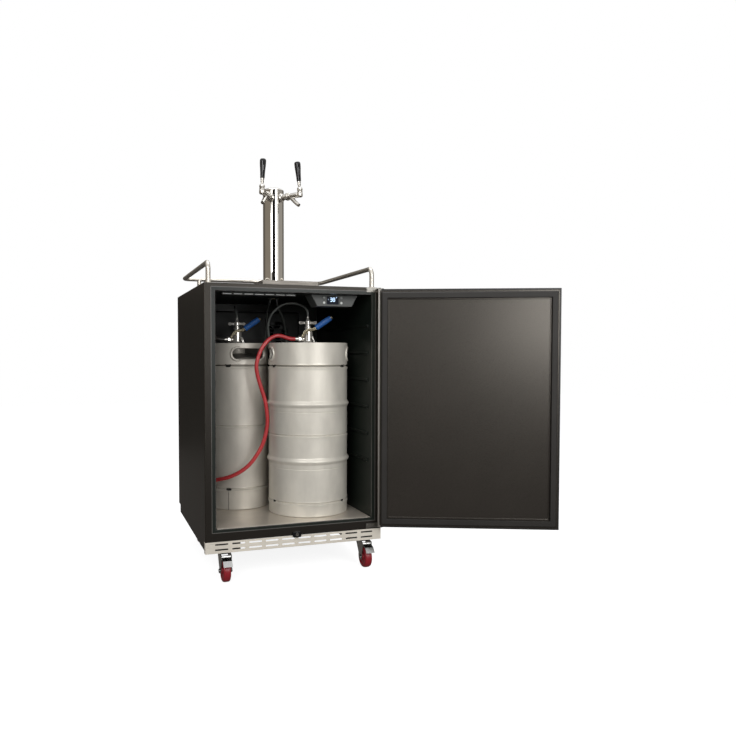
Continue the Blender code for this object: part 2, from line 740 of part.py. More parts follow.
def rounded_corners(points, radius, steps):
    """Replace each inner corner of a path by an arc."""
    path = [Vector(points[0])]
    for before, corner, after in zip(points, points[1:], points[2:]):
        corner = Vector(corner)
        inward = (Vector(before) - corner).normalized()
        outward = (Vector(after) - corner).normalized()
        half = inward.angle(outward) / 2
        centre = corner + (inward + outward).normalized() * (radius / math.sin(half))
        start = (corner + inward * (radius / math.tan(half)) - centre).normalized()
        end = (corner + outward * (radius / math.tan(half)) - centre).normalized()
        for step in range(steps + 1):
            path.append(centre + start.slerp(end, step / steps) * radius)
    path.append(Vector(points[-1]))
    return path


def smooth_route(route, spacing):
    """Evenly spaced points of a smooth curve through a route, whose end legs stay straight."""
    points = [Vector(place) for place in route]
    fine = []
    parts = 12
    for a, b, c, d in zip(points, points[1:], points[2:], points[3:]):
        for step in range(parts):
            t = step / parts
            fine.append(0.5 * (2 * b + (c - a) * t + (2 * a - 5 * b + 4 * c - d) * t ** 2
                               + (3 * b - a - 3 * c + d) * t ** 3))
    fine.append(points[-2])
    total = sum((q - p).length for p, q in zip(fine, fine[1:]))
    count = max(2, round(total / spacing))
    stops = [total * index / count for index in range(count + 1)]
    path = [fine[0]]
    travelled = 0.0
    for p, q in zip(fine, fine[1:]):
        step = (q - p).length
        while len(path) < count and travelled + step >= stops[len(path)]:
            path.append(p.lerp(q, (stops[len(path)] - travelled) / step))
        travelled += step
    return [points[0], *path, fine[-1], points[-1]]


def make_case():
    """Painted steel wrap: sides, top and the frame round the opening."""
    back_edge = BACK - BACK_SHEET - GAP
    case = block("outer_case", (-HALF_WIDTH, FRONT, 0), (HALF_WIDTH, back_edge, CABINET_HEIGHT))

    def long_edge(middle, run):
        side = abs(abs(middle.x) - HALF_WIDTH) < WELD_DISTANCE
        upright = abs(run.z) > abs(run.y) and middle.y < 0
        top = abs(middle.z - CABINET_HEIGHT) < WELD_DISTANCE
        return (side and (upright or top and abs(run.y) > 0)) or (top and middle.y < FRONT / 2)

    soften(case, CASE_EDGE, 2, long_edge)
    inside = block(
        "case_inside", (-HALF_WIDTH + SHEET, FRONT + SHEET, -OVERRUN),
        (HALF_WIDTH - SHEET, BACK + OVERRUN, CABINET_HEIGHT - SHEET))
    mouth = block(
        "case_mouth", (-HALF_WIDTH + FRAME_SIDE, FRONT - OVERRUN, FRAME_BOTTOM),
        (HALF_WIDTH - FRAME_SIDE, FRONT + SHEET + OVERRUN, CABINET_HEIGHT - FRAME_TOP))
    hole = tower_hole("case_tower_hole")
    cut(case, inside, mouth, hole)
    part(case, BLACK_STEEL)


def tower_hole(name):
    """Hole down through the cabinet's top for the beer lines."""
    return drum(
        name, (0, TOWER_Y, CEILING - LINER_SHEET - OVERRUN), (0, TOWER_Y, CABINET_HEIGHT + OVERRUN),
        LINE_HOLE_RADIUS, TUBE_SIDES)


def bulkhead_holes(name):
    """Holes through the back wall for the two gas tubes."""
    return [
        drum(f"{name}_{index}", (BULKHEAD_X, CAVITY_BACK - OVERRUN, height),
             (BULKHEAD_X, BACK + OVERRUN, height), BULKHEAD_TUBE_RADIUS + RUN_CLEARANCE, PIN_SIDES)
        for index, height in enumerate(BULKHEAD_HEIGHTS)]


def cavity(name, grow, front):
    """The stepped space inside the cabinet, grown by a wall, as two blocks."""
    half = CAVITY_HALF + grow
    top = CEILING + grow
    lower = block(f"{name}_lower", (-half, front, CAVITY_FLOOR - grow), (half, HUMP_FRONT + grow, top))
    upper = block(f"{name}_upper", (-half, front, HUMP_HEIGHT - grow), (half, CAVITY_BACK + grow, top))
    return lower, upper


def make_foam():
    """Insulation between the case and the liner, with the machine compartment cut out."""
    skin = SHEET + GAP
    front = FRONT + LINER_SHEET + GAP
    back = BACK - BACK_SHEET - 2 * GAP
    foam = block(
        "insulation_foam", (-HALF_WIDTH + skin, front, PAN_SHEET + GAP),
        (HALF_WIDTH - skin, back, CABINET_HEIGHT - skin))
    machine = block(
        "machine_space", (-CAVITY_HALF, MACHINE_FRONT, -OVERRUN), (CAVITY_HALF, BACK + OVERRUN, MACHINE_TOP))
    cut(foam, *cavity("foam_cavity", LINER_SHEET + GAP, FRONT - OVERRUN), machine,
        tower_hole("foam_tower_hole"), *bulkhead_holes("foam_gas_hole"))
    part(foam, FOAM)


def make_liner():
    """Moulded cavity with its front lip and the shelf ledges of both side walls."""
    lower, upper = cavity("inner_liner", LINER_SHEET, FRONT)
    lower.name = "inner_liner"
    half_lip = CAVITY_HALF + LIP_OVERLAP
    sill = FRAME_BOTTOM + GAP
    lip = block("liner_lip", (-half_lip, FRONT, sill),
                (half_lip, FRONT + LINER_SHEET, CABINET_HEIGHT - FRAME_TOP - GAP))
    fuse(lower, upper, lip)
    cut(lower, *cavity("liner_cavity", 0, FRONT - OVERRUN))
    for side in (-1, 1):
        wall = side * (CAVITY_HALF + LINER_SHEET / 2)
        face = side * CAVITY_HALF
        tip = side * (CAVITY_HALF - LEDGE_REACH)
        for index in range(LEDGE_COUNT):
            foot = LEDGE_FIRST + index * LEDGE_PITCH
            outline = [(wall, foot), (face, foot), (tip, foot + LEDGE_RISE - LEDGE_LIP),
                       (tip, foot + LEDGE_RISE), (wall, foot + LEDGE_RISE)]
            ledge = extruded(f"ledge_{side}_{index}", outline[::side], "Y",
                             FRONT + LEDGE_FRONT_INSET, HUMP_FRONT - LEDGE_BACK_INSET)
            fuse(lower, ledge)
    cut(lower, tower_hole("liner_tower_hole"), *bulkhead_holes("liner_gas_hole"))
    part(lower, DARK_LINER)


def make_floor_plate():
    """Stainless plate that the kegs stand on."""
    half = CAVITY_HALF - FLOOR_SIDE_GAP
    plate = block(
        "floor_plate", (-half, FRONT + FLOOR_FRONT_INSET, FLOOR_HEIGHT - FLOOR_PLATE),
        (half, HUMP_FRONT - FLOOR_SIDE_GAP, FLOOR_HEIGHT))
    part(plate, BRUSHED)


def make_back_cover():
    """Galvanised back sheet with rows of air slots, and the two gas tubes on their plate."""
    cover = block("back_cover", (-HALF_WIDTH, BACK - BACK_SHEET, 0), (HALF_WIDTH, BACK, CABINET_HEIGHT))
    for column in range(BACK_SLOT_COLUMNS):
        middle = (column - (BACK_SLOT_COLUMNS - 1) / 2) * BACK_SLOT_SPREAD
        for row in range(BACK_SLOT_ROWS):
            foot = BACK_SLOT_FIRST + row * BACK_SLOT_PITCH
            cut(cover, block(
                f"back_slot_{column}_{row}",
                (middle - BACK_SLOT_LENGTH / 2, BACK - BACK_SHEET - OVERRUN, foot),
                (middle + BACK_SLOT_LENGTH / 2, BACK + OVERRUN, foot + BACK_SLOT_HEIGHT)))
    low, high = min(BULKHEAD_HEIGHTS), max(BULKHEAD_HEIGHTS)
    half = BULKHEAD_MARGIN
    plate = block("gas_plate", (BULKHEAD_X - half, BACK - BACK_SHEET / 2, low - half),
                  (BULKHEAD_X + half, BACK + BULKHEAD_PLATE, high + half))
    soften(plate, half / 2, 2, lambda middle, run: abs(run.y) > abs(run.x) + abs(run.z))
    fuse(cover, plate)
    for index, height in enumerate(BULKHEAD_HEIGHTS):
        fuse(cover,
             drum(f"gas_tube_{index}", (BULKHEAD_X, CAVITY_BACK - BULKHEAD_REACH_IN, height),
                  (BULKHEAD_X, BACK + BULKHEAD_REACH_OUT, height), BULKHEAD_TUBE_RADIUS, PIN_SIDES),
             drum(f"gas_flange_{index}", (BULKHEAD_X, BACK, height),
                  (BULKHEAD_X, BACK + 2 * BULKHEAD_PLATE, height), BULKHEAD_FLANGE_RADIUS, 6))
    part(cover, GALVANISED)


def make_base_frame():
    """Base pan, two hollow runners, a rear cross member and the four caster plates."""
    half = HALF_WIDTH - SHEET - GAP
    front = FRONT + SHEET + GAP
    rear = BACK - BACK_SHEET - GAP
    frame = block("base_frame", (-half, front, 0), (half, rear, PAN_SHEET))
    runner_front = FRONT + KICK_SHEET + GAP
    for side in (-1, 1):
        outer = side * (HALF_WIDTH - RUNNER_INSET)
        inner = side * (HALF_WIDTH - RUNNER_INSET - RUNNER_WIDTH)
        low, high = min(outer, inner), max(outer, inner)
        runner = block(f"runner_{side}", (low, runner_front, RUNNER_FOOT), (high, rear, PAN_SHEET / 2))
        hollow = block(
            f"runner_hollow_{side}",
            (low + RUNNER_SHEET, runner_front + RUNNER_SHEET, RUNNER_FOOT + RUNNER_SHEET),
            (high - RUNNER_SHEET, rear + OVERRUN, -RUNNER_SHEET))
        cut(runner, hollow)
        fuse(frame, runner)
    reach = HALF_WIDTH - RUNNER_INSET - RUNNER_WIDTH + RUNNER_SHEET / 2
    member = block(
        "cross_member", (-reach, rear - CROSS_MEMBER_DEPTH, RUNNER_FOOT), (reach, rear, PAN_SHEET / 2))
    fuse(frame, member)
    for name, x, y in caster_places():
        plate = block(
            f"caster_plate_{name}",
            (x - CASTER_PLATE_SIZE / 2, y - CASTER_PLATE_SIZE / 2, RUNNER_FOOT - CASTER_PLATE),
            (x + CASTER_PLATE_SIZE / 2, y + CASTER_PLATE_SIZE / 2, RUNNER_FOOT + RUNNER_SHEET / 2))
        fuse(frame, plate)
    part(frame, BLACK_STEEL)


def slot_cutter(name, middle_x, middle_z):
    """One slot with blunt round ends, through the kick sheet."""
    half = SLOT_LENGTH / 2 - SLOT_HEIGHT / 2
    right = arc((middle_x + half, middle_z), SLOT_HEIGHT / 2, -90, 90, 2)
    left = arc((middle_x - half, middle_z), SLOT_HEIGHT / 2, 90, 270, 2)
    return extruded(name, right + left, "Y", FRONT - OVERRUN, FRONT + KICK_SHEET + OVERRUN)


def make_kick_grille():
    """Stainless kick plate with short side returns and two rows of slots."""
    outer = block("kick_grille", (-HALF_WIDTH, FRONT, RUNNER_FOOT),
                  (HALF_WIDTH, FRONT + KICK_RETURN, -GAP))
    inside = block(
        "kick_inside", (-HALF_WIDTH + KICK_SHEET, FRONT + KICK_SHEET, RUNNER_FOOT - OVERRUN),
        (HALF_WIDTH - KICK_SHEET, FRONT + KICK_RETURN + OVERRUN, OVERRUN))
    cut(outer, inside)
    for row, drop in enumerate(SLOT_ROW_DROPS):
        for index in range(SLOT_COUNT):
            middle = (index - (SLOT_COUNT - 1) / 2) * SLOT_PITCH
            cut(outer, slot_cutter(f"kick_slot_{row}_{index}", middle, -drop))
    part(outer, BRUSHED)


def caster_places():
    """Name, x and y of the four swivel axes."""
    left = -HALF_WIDTH + CASTER_INSET_LEFT
    right = HALF_WIDTH - CASTER_INSET_RIGHT
    near = FRONT + CASTER_INSET_ENDS
    far = BACK - CASTER_INSET_ENDS
    return (("front_left", left, near), ("front_right", right, near),
            ("rear_left", left, far), ("rear_right", right, far))


def make_caster(name, x, y, braked):
    """Swivel fork with its wheel on a trailing axle, and a brake pedal on the front ones."""
    swivel = pivot(f"swivel_{name}", (x, y, 0))
    top = RUNNER_FOOT - CASTER_PLATE - GAP
    bridge = top - RACE_DEPTH
    axle_y = -CASTER_TRAIL
    pedal_y = axle_y - PEDAL_PIVOT_AHEAD
    pedal_z = AXLE_HEIGHT + PEDAL_PIVOT_RISE
    outline = [(FORK_TOP_HALF, bridge)]
    outline += [(-FORK_TOP_HALF, bridge)]
    outline += arc((pedal_y, pedal_z), PEDAL_PIVOT_RADIUS + CHEEK, 90, 200, 3)
    outline += arc((axle_y, AXLE_HEIGHT), FORK_FOOT, 190, 340, 5)
    fork = extruded(f"fork_{name}", outline, "X", -FORK_WIDTH / 2, FORK_WIDTH / 2, swivel)
    inner_half = FORK_WIDTH / 2 - CHEEK
    space = block(
        f"fork_space_{name}", (-inner_half, axle_y - WHEEL_RADIUS, AXLE_HEIGHT - WHEEL_RADIUS),
        (inner_half, CASTER_TRAIL + FORK_TOP_HALF, bridge - FORK_BRIDGE), swivel)
    cut(fork, space)
    race = drum(f"race_{name}", (0, 0, bridge - FORK_BRIDGE / 2), (0, 0, top), RACE_RADIUS, SMALL_SIDES,
                swivel)
    axle_half = FORK_WIDTH / 2 + AXLE_HEAD
    axle = drum(f"axle_{name}", (-FORK_WIDTH / 2, axle_y, AXLE_HEIGHT),
                (FORK_WIDTH / 2, axle_y, AXLE_HEIGHT), AXLE_RADIUS, PIN_SIDES, swivel)
    fuse(fork, race, axle)
    for side in (-1, 1):
        fuse(fork, drum(
            f"axle_head_{name}_{side}", (side * (FORK_WIDTH / 2 - CHEEK / 2), axle_y, AXLE_HEIGHT),
            (side * axle_half, axle_y, AXLE_HEIGHT), AXLE_HEAD_RADIUS, 6, swivel))
    part(fork, GALVANISED, ROUND)
    make_wheel(name, swivel, axle_y)
    if braked:
        make_pedal(name, swivel, pedal_y, pedal_z)


def make_wheel(name, swivel, axle_y):
    """Solid wheel with a crowned tread, dished sides and a bore."""
    half = WHEEL_WIDTH / 2
    bore = AXLE_RADIUS + GAP
    hub_half = FORK_WIDTH / 2 - CHEEK - GAP
    side = [(bore, hub_half), (HUB_RADIUS, hub_half), (HUB_RADIUS, half - WHEEL_DISH), (RIM_RADIUS, half),
            (WHEEL_RADIUS, half - WHEEL_SHOULDER)]
    profile = side + [(radius, -height) for radius, height in side[::-1]]
    wheel = turned(f"wheel_{name}", profile, "X", (0, 0, 0), WHEEL_SIDES, True, swivel)
    wheel.location = (0, axle_y, AXLE_HEIGHT)
    part(wheel, RED_TYRE, ROUND)


def make_pedal(name, swivel, pivot_y, pivot_z):
    """Brake pedal: a bent steel strip on a cross barrel between the fork's cheeks."""
    knee = (-CASTER_TRAIL - PEDAL_KNEE_AHEAD, AXLE_HEIGHT + PEDAL_KNEE_RISE)
    tip = (-CASTER_TRAIL - PEDAL_TIP_AHEAD, AXLE_HEIGHT + PEDAL_TIP_RISE)
    outline = [(pivot_y, pivot_z), (pivot_y, pivot_z - PEDAL_SHEET), (knee[0], knee[1] - PEDAL_SHEET),
               (tip[0], tip[1]), (tip[0] - PEDAL_SHEET, tip[1]), (knee[0] - PEDAL_SHEET, knee[1])]
    pedal = extruded(f"pedal_{name}", outline[::-1], "X", -PEDAL_WIDTH / 2, PEDAL_WIDTH / 2, swivel)
    reach = FORK_WIDTH / 2 - CHEEK - GAP
    barrel = drum(f"pedal_barrel_{name}", (-reach, pivot_y, pivot_z), (reach, pivot_y, pivot_z),
                  PEDAL_PIVOT_RADIUS, PIN_SIDES, swivel)
    fuse(pedal, barrel)
    for item in (pedal, barrel):
        shift(item, (0, pivot_y, pivot_z))
    part(pedal, GALVANISED)


def make_compressor():
    """Hermetic compressor pot on its foot plate."""
    middle_y = (MACHINE_FRONT + BACK - BACK_SHEET) / 2
    foot = PAN_SHEET + GAP
    plate_foot = foot + COMPRESSOR_FOOT_HEIGHT
    pot_foot = plate_foot + COMPRESSOR_BASE_SHEET / 2
    top = plate_foot + COMPRESSOR_HEIGHT
    radius = COMPRESSOR_RADIUS
    seam = plate_foot + COMPRESSOR_SEAM_HEIGHT
    shoulder = [(radius * math.sin(math.radians(a)), top - COMPRESSOR_DOME * (1 - math.cos(math.radians(a))))
                for a in (0, 30, 55, 75)]
    pot_radius = radius - COMPRESSOR_SEAM
    profile = [(0, top)] + [(r * pot_radius / radius, z) for r, z in shoulder[1:]]
    profile += [(pot_radius, top - COMPRESSOR_DOME), (pot_radius, seam + COMPRESSOR_SEAM),
                (radius, seam + COMPRESSOR_SEAM), (radius, seam), (pot_radius, seam),
                (pot_radius, pot_foot), (0, pot_foot)]
    pot = turned("compressor", profile, "Z", (COMPRESSOR_X, middle_y, 0), SMALL_SIDES)
    half_x = COMPRESSOR_FOOT_SPREAD_X + COMPRESSOR_BASE_MARGIN
    half_y = COMPRESSOR_FOOT_SPREAD_Y + COMPRESSOR_BASE_MARGIN
    plate = block("compressor_plate", (COMPRESSOR_X - half_x, middle_y - half_y, plate_foot),
                  (COMPRESSOR_X + half_x, middle_y + half_y, plate_foot + COMPRESSOR_BASE_SHEET))
    fuse(pot, plate)
    for side_x in (-1, 1):
        for side_y in (-1, 1):
            x = COMPRESSOR_X + side_x * COMPRESSOR_FOOT_SPREAD_X
            y = middle_y + side_y * COMPRESSOR_FOOT_SPREAD_Y
            fuse(pot, drum(f"compressor_foot_{side_x}_{side_y}", (x, y, foot),
                           (x, y, pot_foot), COMPRESSOR_FOOT_RADIUS, PIN_SIDES))
    part(pot, COPPER_BLACK, ROUND)


def fan(name, radius, parent):
    """Hub and pitched blades, turning about the parent's Z axis."""
    hub = drum(name, (0, 0, 0), (0, 0, FAN_HUB_DEPTH), FAN_HUB_RADIUS, SMALL_SIDES, parent)
    middle = FAN_HUB_DEPTH / 2
    for index in range(FAN_BLADE_COUNT):
        blade = block(f"{name}_blade_{index}", (FAN_HUB_RADIUS / 2, -FAN_CHORD / 2, -FAN_BLADE / 2),
                      (radius, FAN_CHORD / 2, FAN_BLADE / 2), parent)
        turn = Matrix.Rotation(math.tau * index / FAN_BLADE_COUNT, 4, "Z")
        pitch = Matrix.Rotation(FAN_BLADE_PITCH, 4, "X")
        blade.data.transform(Matrix.Translation((0, 0, middle)) @ turn @ pitch)
        fuse(hub, blade)
    return hub


def make_condenser():
    """Finned condenser with the fan's shroud and motor at its side."""
    middle_y = (MACHINE_FRONT + BACK - BACK_SHEET) / 2
    low_y, high_y = middle_y - CONDENSER_DEPTH / 2, middle_y + CONDENSER_DEPTH / 2
    foot = PAN_SHEET + GAP
    top = foot + CONDENSER_HEIGHT
    outline = [(CONDENSER_LEFT, foot)]
    width = (CONDENSER_FIN_COUNT - 1) * CONDENSER_FIN_PITCH + CONDENSER_FIN
    outline.append((CONDENSER_LEFT + width, foot))
    for index in reversed(range(CONDENSER_FIN_COUNT)):
        left = CONDENSER_LEFT + index * CONDENSER_FIN_PITCH
        right = left + CONDENSER_FIN
        outline += [(right, foot + CONDENSER_BASE), (right, top), (left, top), (left, foot + CONDENSER_BASE)]
    outline = [point for index, point in enumerate(outline) if index not in (2, len(outline) - 1)]
    body = extruded("condenser", outline, "Y", low_y, high_y)
    shroud_x = CONDENSER_LEFT + width
    fan_z = foot + CONDENSER_HEIGHT / 2
    duct = block("shroud", (shroud_x - CONDENSER_FIN / 2, low_y, foot),
                 (shroud_x + SHROUD_SHEET, high_y, top))
    opening = drum(
        "shroud_opening", (shroud_x - OVERRUN, middle_y, fan_z),
        (shroud_x + SHROUD_SHEET + OVERRUN, middle_y, fan_z),
        CONDENSER_FAN_RADIUS + SHROUD_CLEARANCE, TUBE_SIDES)
    cut(duct, opening)
    spoke = block("shroud_spoke", (shroud_x, middle_y - SPOKE_WIDTH / 2, foot + CONDENSER_BASE),
                  (shroud_x + SHROUD_SHEET, middle_y + SPOKE_WIDTH / 2, top - CONDENSER_BASE))
    motor = drum("shroud_motor", (shroud_x, middle_y, fan_z), (shroud_x + MOTOR_DEPTH, middle_y, fan_z),
                 MOTOR_RADIUS, SMALL_SIDES)
    fuse(duct, spoke, motor)
    fuse(body, duct)
    part(body, GALVANISED)
    axle = pivot("condenser_fan_axis", (shroud_x + MOTOR_DEPTH + GAP, middle_y, fan_z),
                 (0, math.radians(90), 0))
    part(fan("condenser_fan", CONDENSER_FAN_RADIUS, axle), BLACK_PLASTIC)


def make_evaporator():
    """Evaporator cover on the back wall: intake slots, a barred fan opening and the fan."""
    half = EVAPORATOR_WIDTH / 2
    back = CAVITY_BACK - GAP
    front = back - EVAPORATOR_DEPTH
    cover = block("evaporator_cover", (-half, front, EVAPORATOR_BOTTOM), (half, back, EVAPORATOR_TOP))

    hollow_front = front + EVAPORATOR_SHEET
    soften(cover, EVAPORATOR_EDGE, 2, lambda middle, run: abs(middle.y - front) < WELD_DISTANCE)
    hollow = block(
        "evaporator_hollow",
        (-half + EVAPORATOR_SHEET, front + EVAPORATOR_SHEET, EVAPORATOR_BOTTOM + EVAPORATOR_SHEET),
        (half - EVAPORATOR_SHEET, back + OVERRUN, EVAPORATOR_TOP - EVAPORATOR_SHEET))
    soften(hollow, EVAPORATOR_EDGE, 1, lambda middle, run: abs(middle.y - hollow_front) < WELD_DISTANCE)
    cut(cover, hollow)
    inner_y = front + EVAPORATOR_SHEET + OVERRUN
    pitch = 2 * EVAPORATOR_FAN_RADIUS / EVAPORATOR_BAR_COUNT
    for index in range(EVAPORATOR_BAR_COUNT):
        offset = (index + 1 / 2) * pitch - EVAPORATOR_FAN_RADIUS
        chord = math.sqrt(EVAPORATOR_FAN_RADIUS ** 2 - offset ** 2)
        middle_z = EVAPORATOR_FAN_Z + offset
        half_slot = (pitch - EVAPORATOR_BAR) / 2
        cut(cover, block(
            f"fan_slot_{index}", (EVAPORATOR_FAN_X - chord, front - OVERRUN, middle_z - half_slot),
            (EVAPORATOR_FAN_X + chord, inner_y, middle_z + half_slot)))
    for index in range(INTAKE_COUNT):
        foot = INTAKE_FIRST + index * INTAKE_PITCH
        cut(cover, block(f"intake_{index}", (-INTAKE_LENGTH / 2, front - OVERRUN, foot),
                         (INTAKE_LENGTH / 2, inner_y, foot + INTAKE_HEIGHT)))
    motor_end = front + EVAPORATOR_SHEET + MOTOR_DEPTH / 2
    motor = drum("evaporator_motor", (EVAPORATOR_FAN_X, front + EVAPORATOR_SHEET / 2, EVAPORATOR_FAN_Z),
                 (EVAPORATOR_FAN_X, motor_end, EVAPORATOR_FAN_Z), MOTOR_RADIUS, SMALL_SIDES)
    fuse(cover, motor)
    part(cover, GREY_PLASTIC)
    axle = pivot("evaporator_fan_axis", (EVAPORATOR_FAN_X, motor_end + GAP, EVAPORATOR_FAN_Z),
                 (math.radians(-90), 0, 0))
    part(fan("evaporator_fan", EVAPORATOR_FAN_RADIUS, axle), BLACK_PLASTIC)


def make_control():
    """Temperature control under the ceiling: tapered housing, display recess, four buttons."""
    top = CEILING - GAP
    foot = top - CONTROL_HEIGHT
    front = FRONT + CONTROL_FRONT_INSET
    outline = [(CONTROL_LEFT, top), (CONTROL_LEFT + CONTROL_TAPER, foot),
               (CONTROL_RIGHT - CONTROL_TAPER, foot), (CONTROL_RIGHT, top)]
    housing = extruded("control_housing", outline, "Y", front, front + CONTROL_DEPTH)
    soften(housing, CONTROL_EDGE, 1)
    display = block("display_recess", (DISPLAY_LEFT, front - OVERRUN, top - DISPLAY_BOTTOM_DROP),
                    (DISPLAY_RIGHT, front + DISPLAY_RECESS, top - DISPLAY_TOP_DROP))
    cut(housing, display)
    for row, drop in enumerate(BUTTON_ROW_DROPS):
        for column, x in enumerate(BUTTON_COLUMNS):
            z = top - drop
            back = front - BUTTON_PROUD + BUTTON_LENGTH
            pocket_end = back + BUTTON_TRAVEL + RUN_CLEARANCE
            cut(housing, drum(f"button_pocket_{row}_{column}", (x, front - OVERRUN, z), (x, pocket_end, z),
                              BUTTON_RADIUS + GAP, SMALL_SIDES))
            button = drum(f"button_{row}_{column}", (x, front - BUTTON_PROUD, z), (x, back, z),
                          BUTTON_RADIUS, SMALL_SIDES)
            part(shift(button, (x, front, z)), PALE_BUTTON)
    part(housing, GREY_PLASTIC)


def make_vent():
    """Slotted air vent strip under the ceiling, left of the control."""
    top = CEILING - GAP
    front = FRONT + VENT_FRONT_INSET
    strip = block("ceiling_vent", (VENT_LEFT, front, top - VENT_DROP), (VENT_RIGHT, front + VENT_DEPTH, top))
    pitch = (VENT_RIGHT - VENT_LEFT) / VENT_SLOT_COUNT
    length = pitch * VENT_SLOT_LENGTH_SHARE
    for index in range(VENT_SLOT_COUNT):
        middle = VENT_LEFT + (index + 1 / 2) * pitch
        centre = top - VENT_SLOT_DROP
        cut(strip, block(
            f"vent_slot_{index}", (middle - length / 2, front - OVERRUN, centre - VENT_SLOT_HEIGHT / 2),
            (middle + length / 2, front + VENT_DEPTH + OVERRUN, centre + VENT_SLOT_HEIGHT / 2)))
    part(strip, GREY_PLASTIC)


def make_guard_rail():
    """Bent rail round three sides of the top, on two front and two rear posts with feet."""
    x = HALF_WIDTH - RAIL_SIDE_INSET
    near = FRONT + RAIL_FRONT_INSET
    far = BACK - RAIL_BACK_INSET
    foot = CABINET_HEIGHT + GAP
    height = CABINET_HEIGHT + RAIL_RISE
    corners = [(-x, near, foot), (-x, near, height), (-x, far, height),
               (x, far, height), (x, near, height), (x, near, foot)]
    rail = bent_tube("guard_rail", rounded_corners(corners, RAIL_BEND, RAIL_BEND_STEPS), RAIL_RADIUS)
    rear = HALF_WIDTH - RAIL_REAR_POST_INSET
    for side in (-1, 1):
        fuse(rail, drum(f"rear_post_{side}", (side * rear, far, foot), (side * rear, far, height),
                        RAIL_RADIUS - WELD_DISTANCE, 8))
        for name, post_x, post_y in (("front", x, near), ("rear", rear, far)):
            fuse(rail, drum(f"rail_foot_{name}_{side}", (side * post_x, post_y, foot),
                            (side * post_x, post_y, foot + RAIL_FOOT), RAIL_FOOT_RADIUS, SMALL_SIDES))
    part(rail, BRUSHED, ROUND)


def make_tower():
    """Hollow tower column with its base flange, and the domed cap."""
    foot = CABINET_HEIGHT + GAP
    cap_foot = CABINET_HEIGHT + TOWER_HEIGHT - TOWER_CAP_RISE - TOWER_CAP_RIM
    bore = TOWER_RADIUS - TOWER_WALL
    profile = [(bore, cap_foot - GAP), (TOWER_RADIUS, cap_foot - GAP), (TOWER_RADIUS, foot + TOWER_FLANGE),
               (TOWER_FLANGE_RADIUS - TOWER_FLANGE_CHAMFER, foot + TOWER_FLANGE),
               (TOWER_FLANGE_RADIUS, foot + TOWER_FLANGE - TOWER_FLANGE_CHAMFER),
               (TOWER_FLANGE_RADIUS, foot), (bore, foot)]
    column = turned("tower_column", profile, "Z", (0, TOWER_Y, 0), TUBE_SIDES, True)
    for side in (-1, 1):
        direction = Vector((side * math.sin(TAP_SPREAD), -math.cos(TAP_SPREAD), 0))
        centre = Vector((0, TOWER_Y, SHANK_HEIGHT))
        cut(column, drum(f"shank_hole_{side}", centre + direction * SHANK_RADIUS,
                         centre + direction * (TOWER_RADIUS + OVERRUN), SHANK_RADIUS + GAP, SMALL_SIDES))
    part(column, POLISHED, ROUND)
    rim = cap_foot + TOWER_CAP_RIM
    dome = [(TOWER_RADIUS * math.sin(math.radians(a)),
             rim + TOWER_CAP_RISE * (math.cos(math.radians(a)))) for a in (0, 30, 55, 75, 90)]
    cap = turned("tower_cap", [(0, dome[0][1])] + dome[1:] + [(TOWER_RADIUS, cap_foot), (0, cap_foot)],
                 "Z", (0, TOWER_Y, 0), TUBE_SIDES)
    part(cap, POLISHED, ROUND)


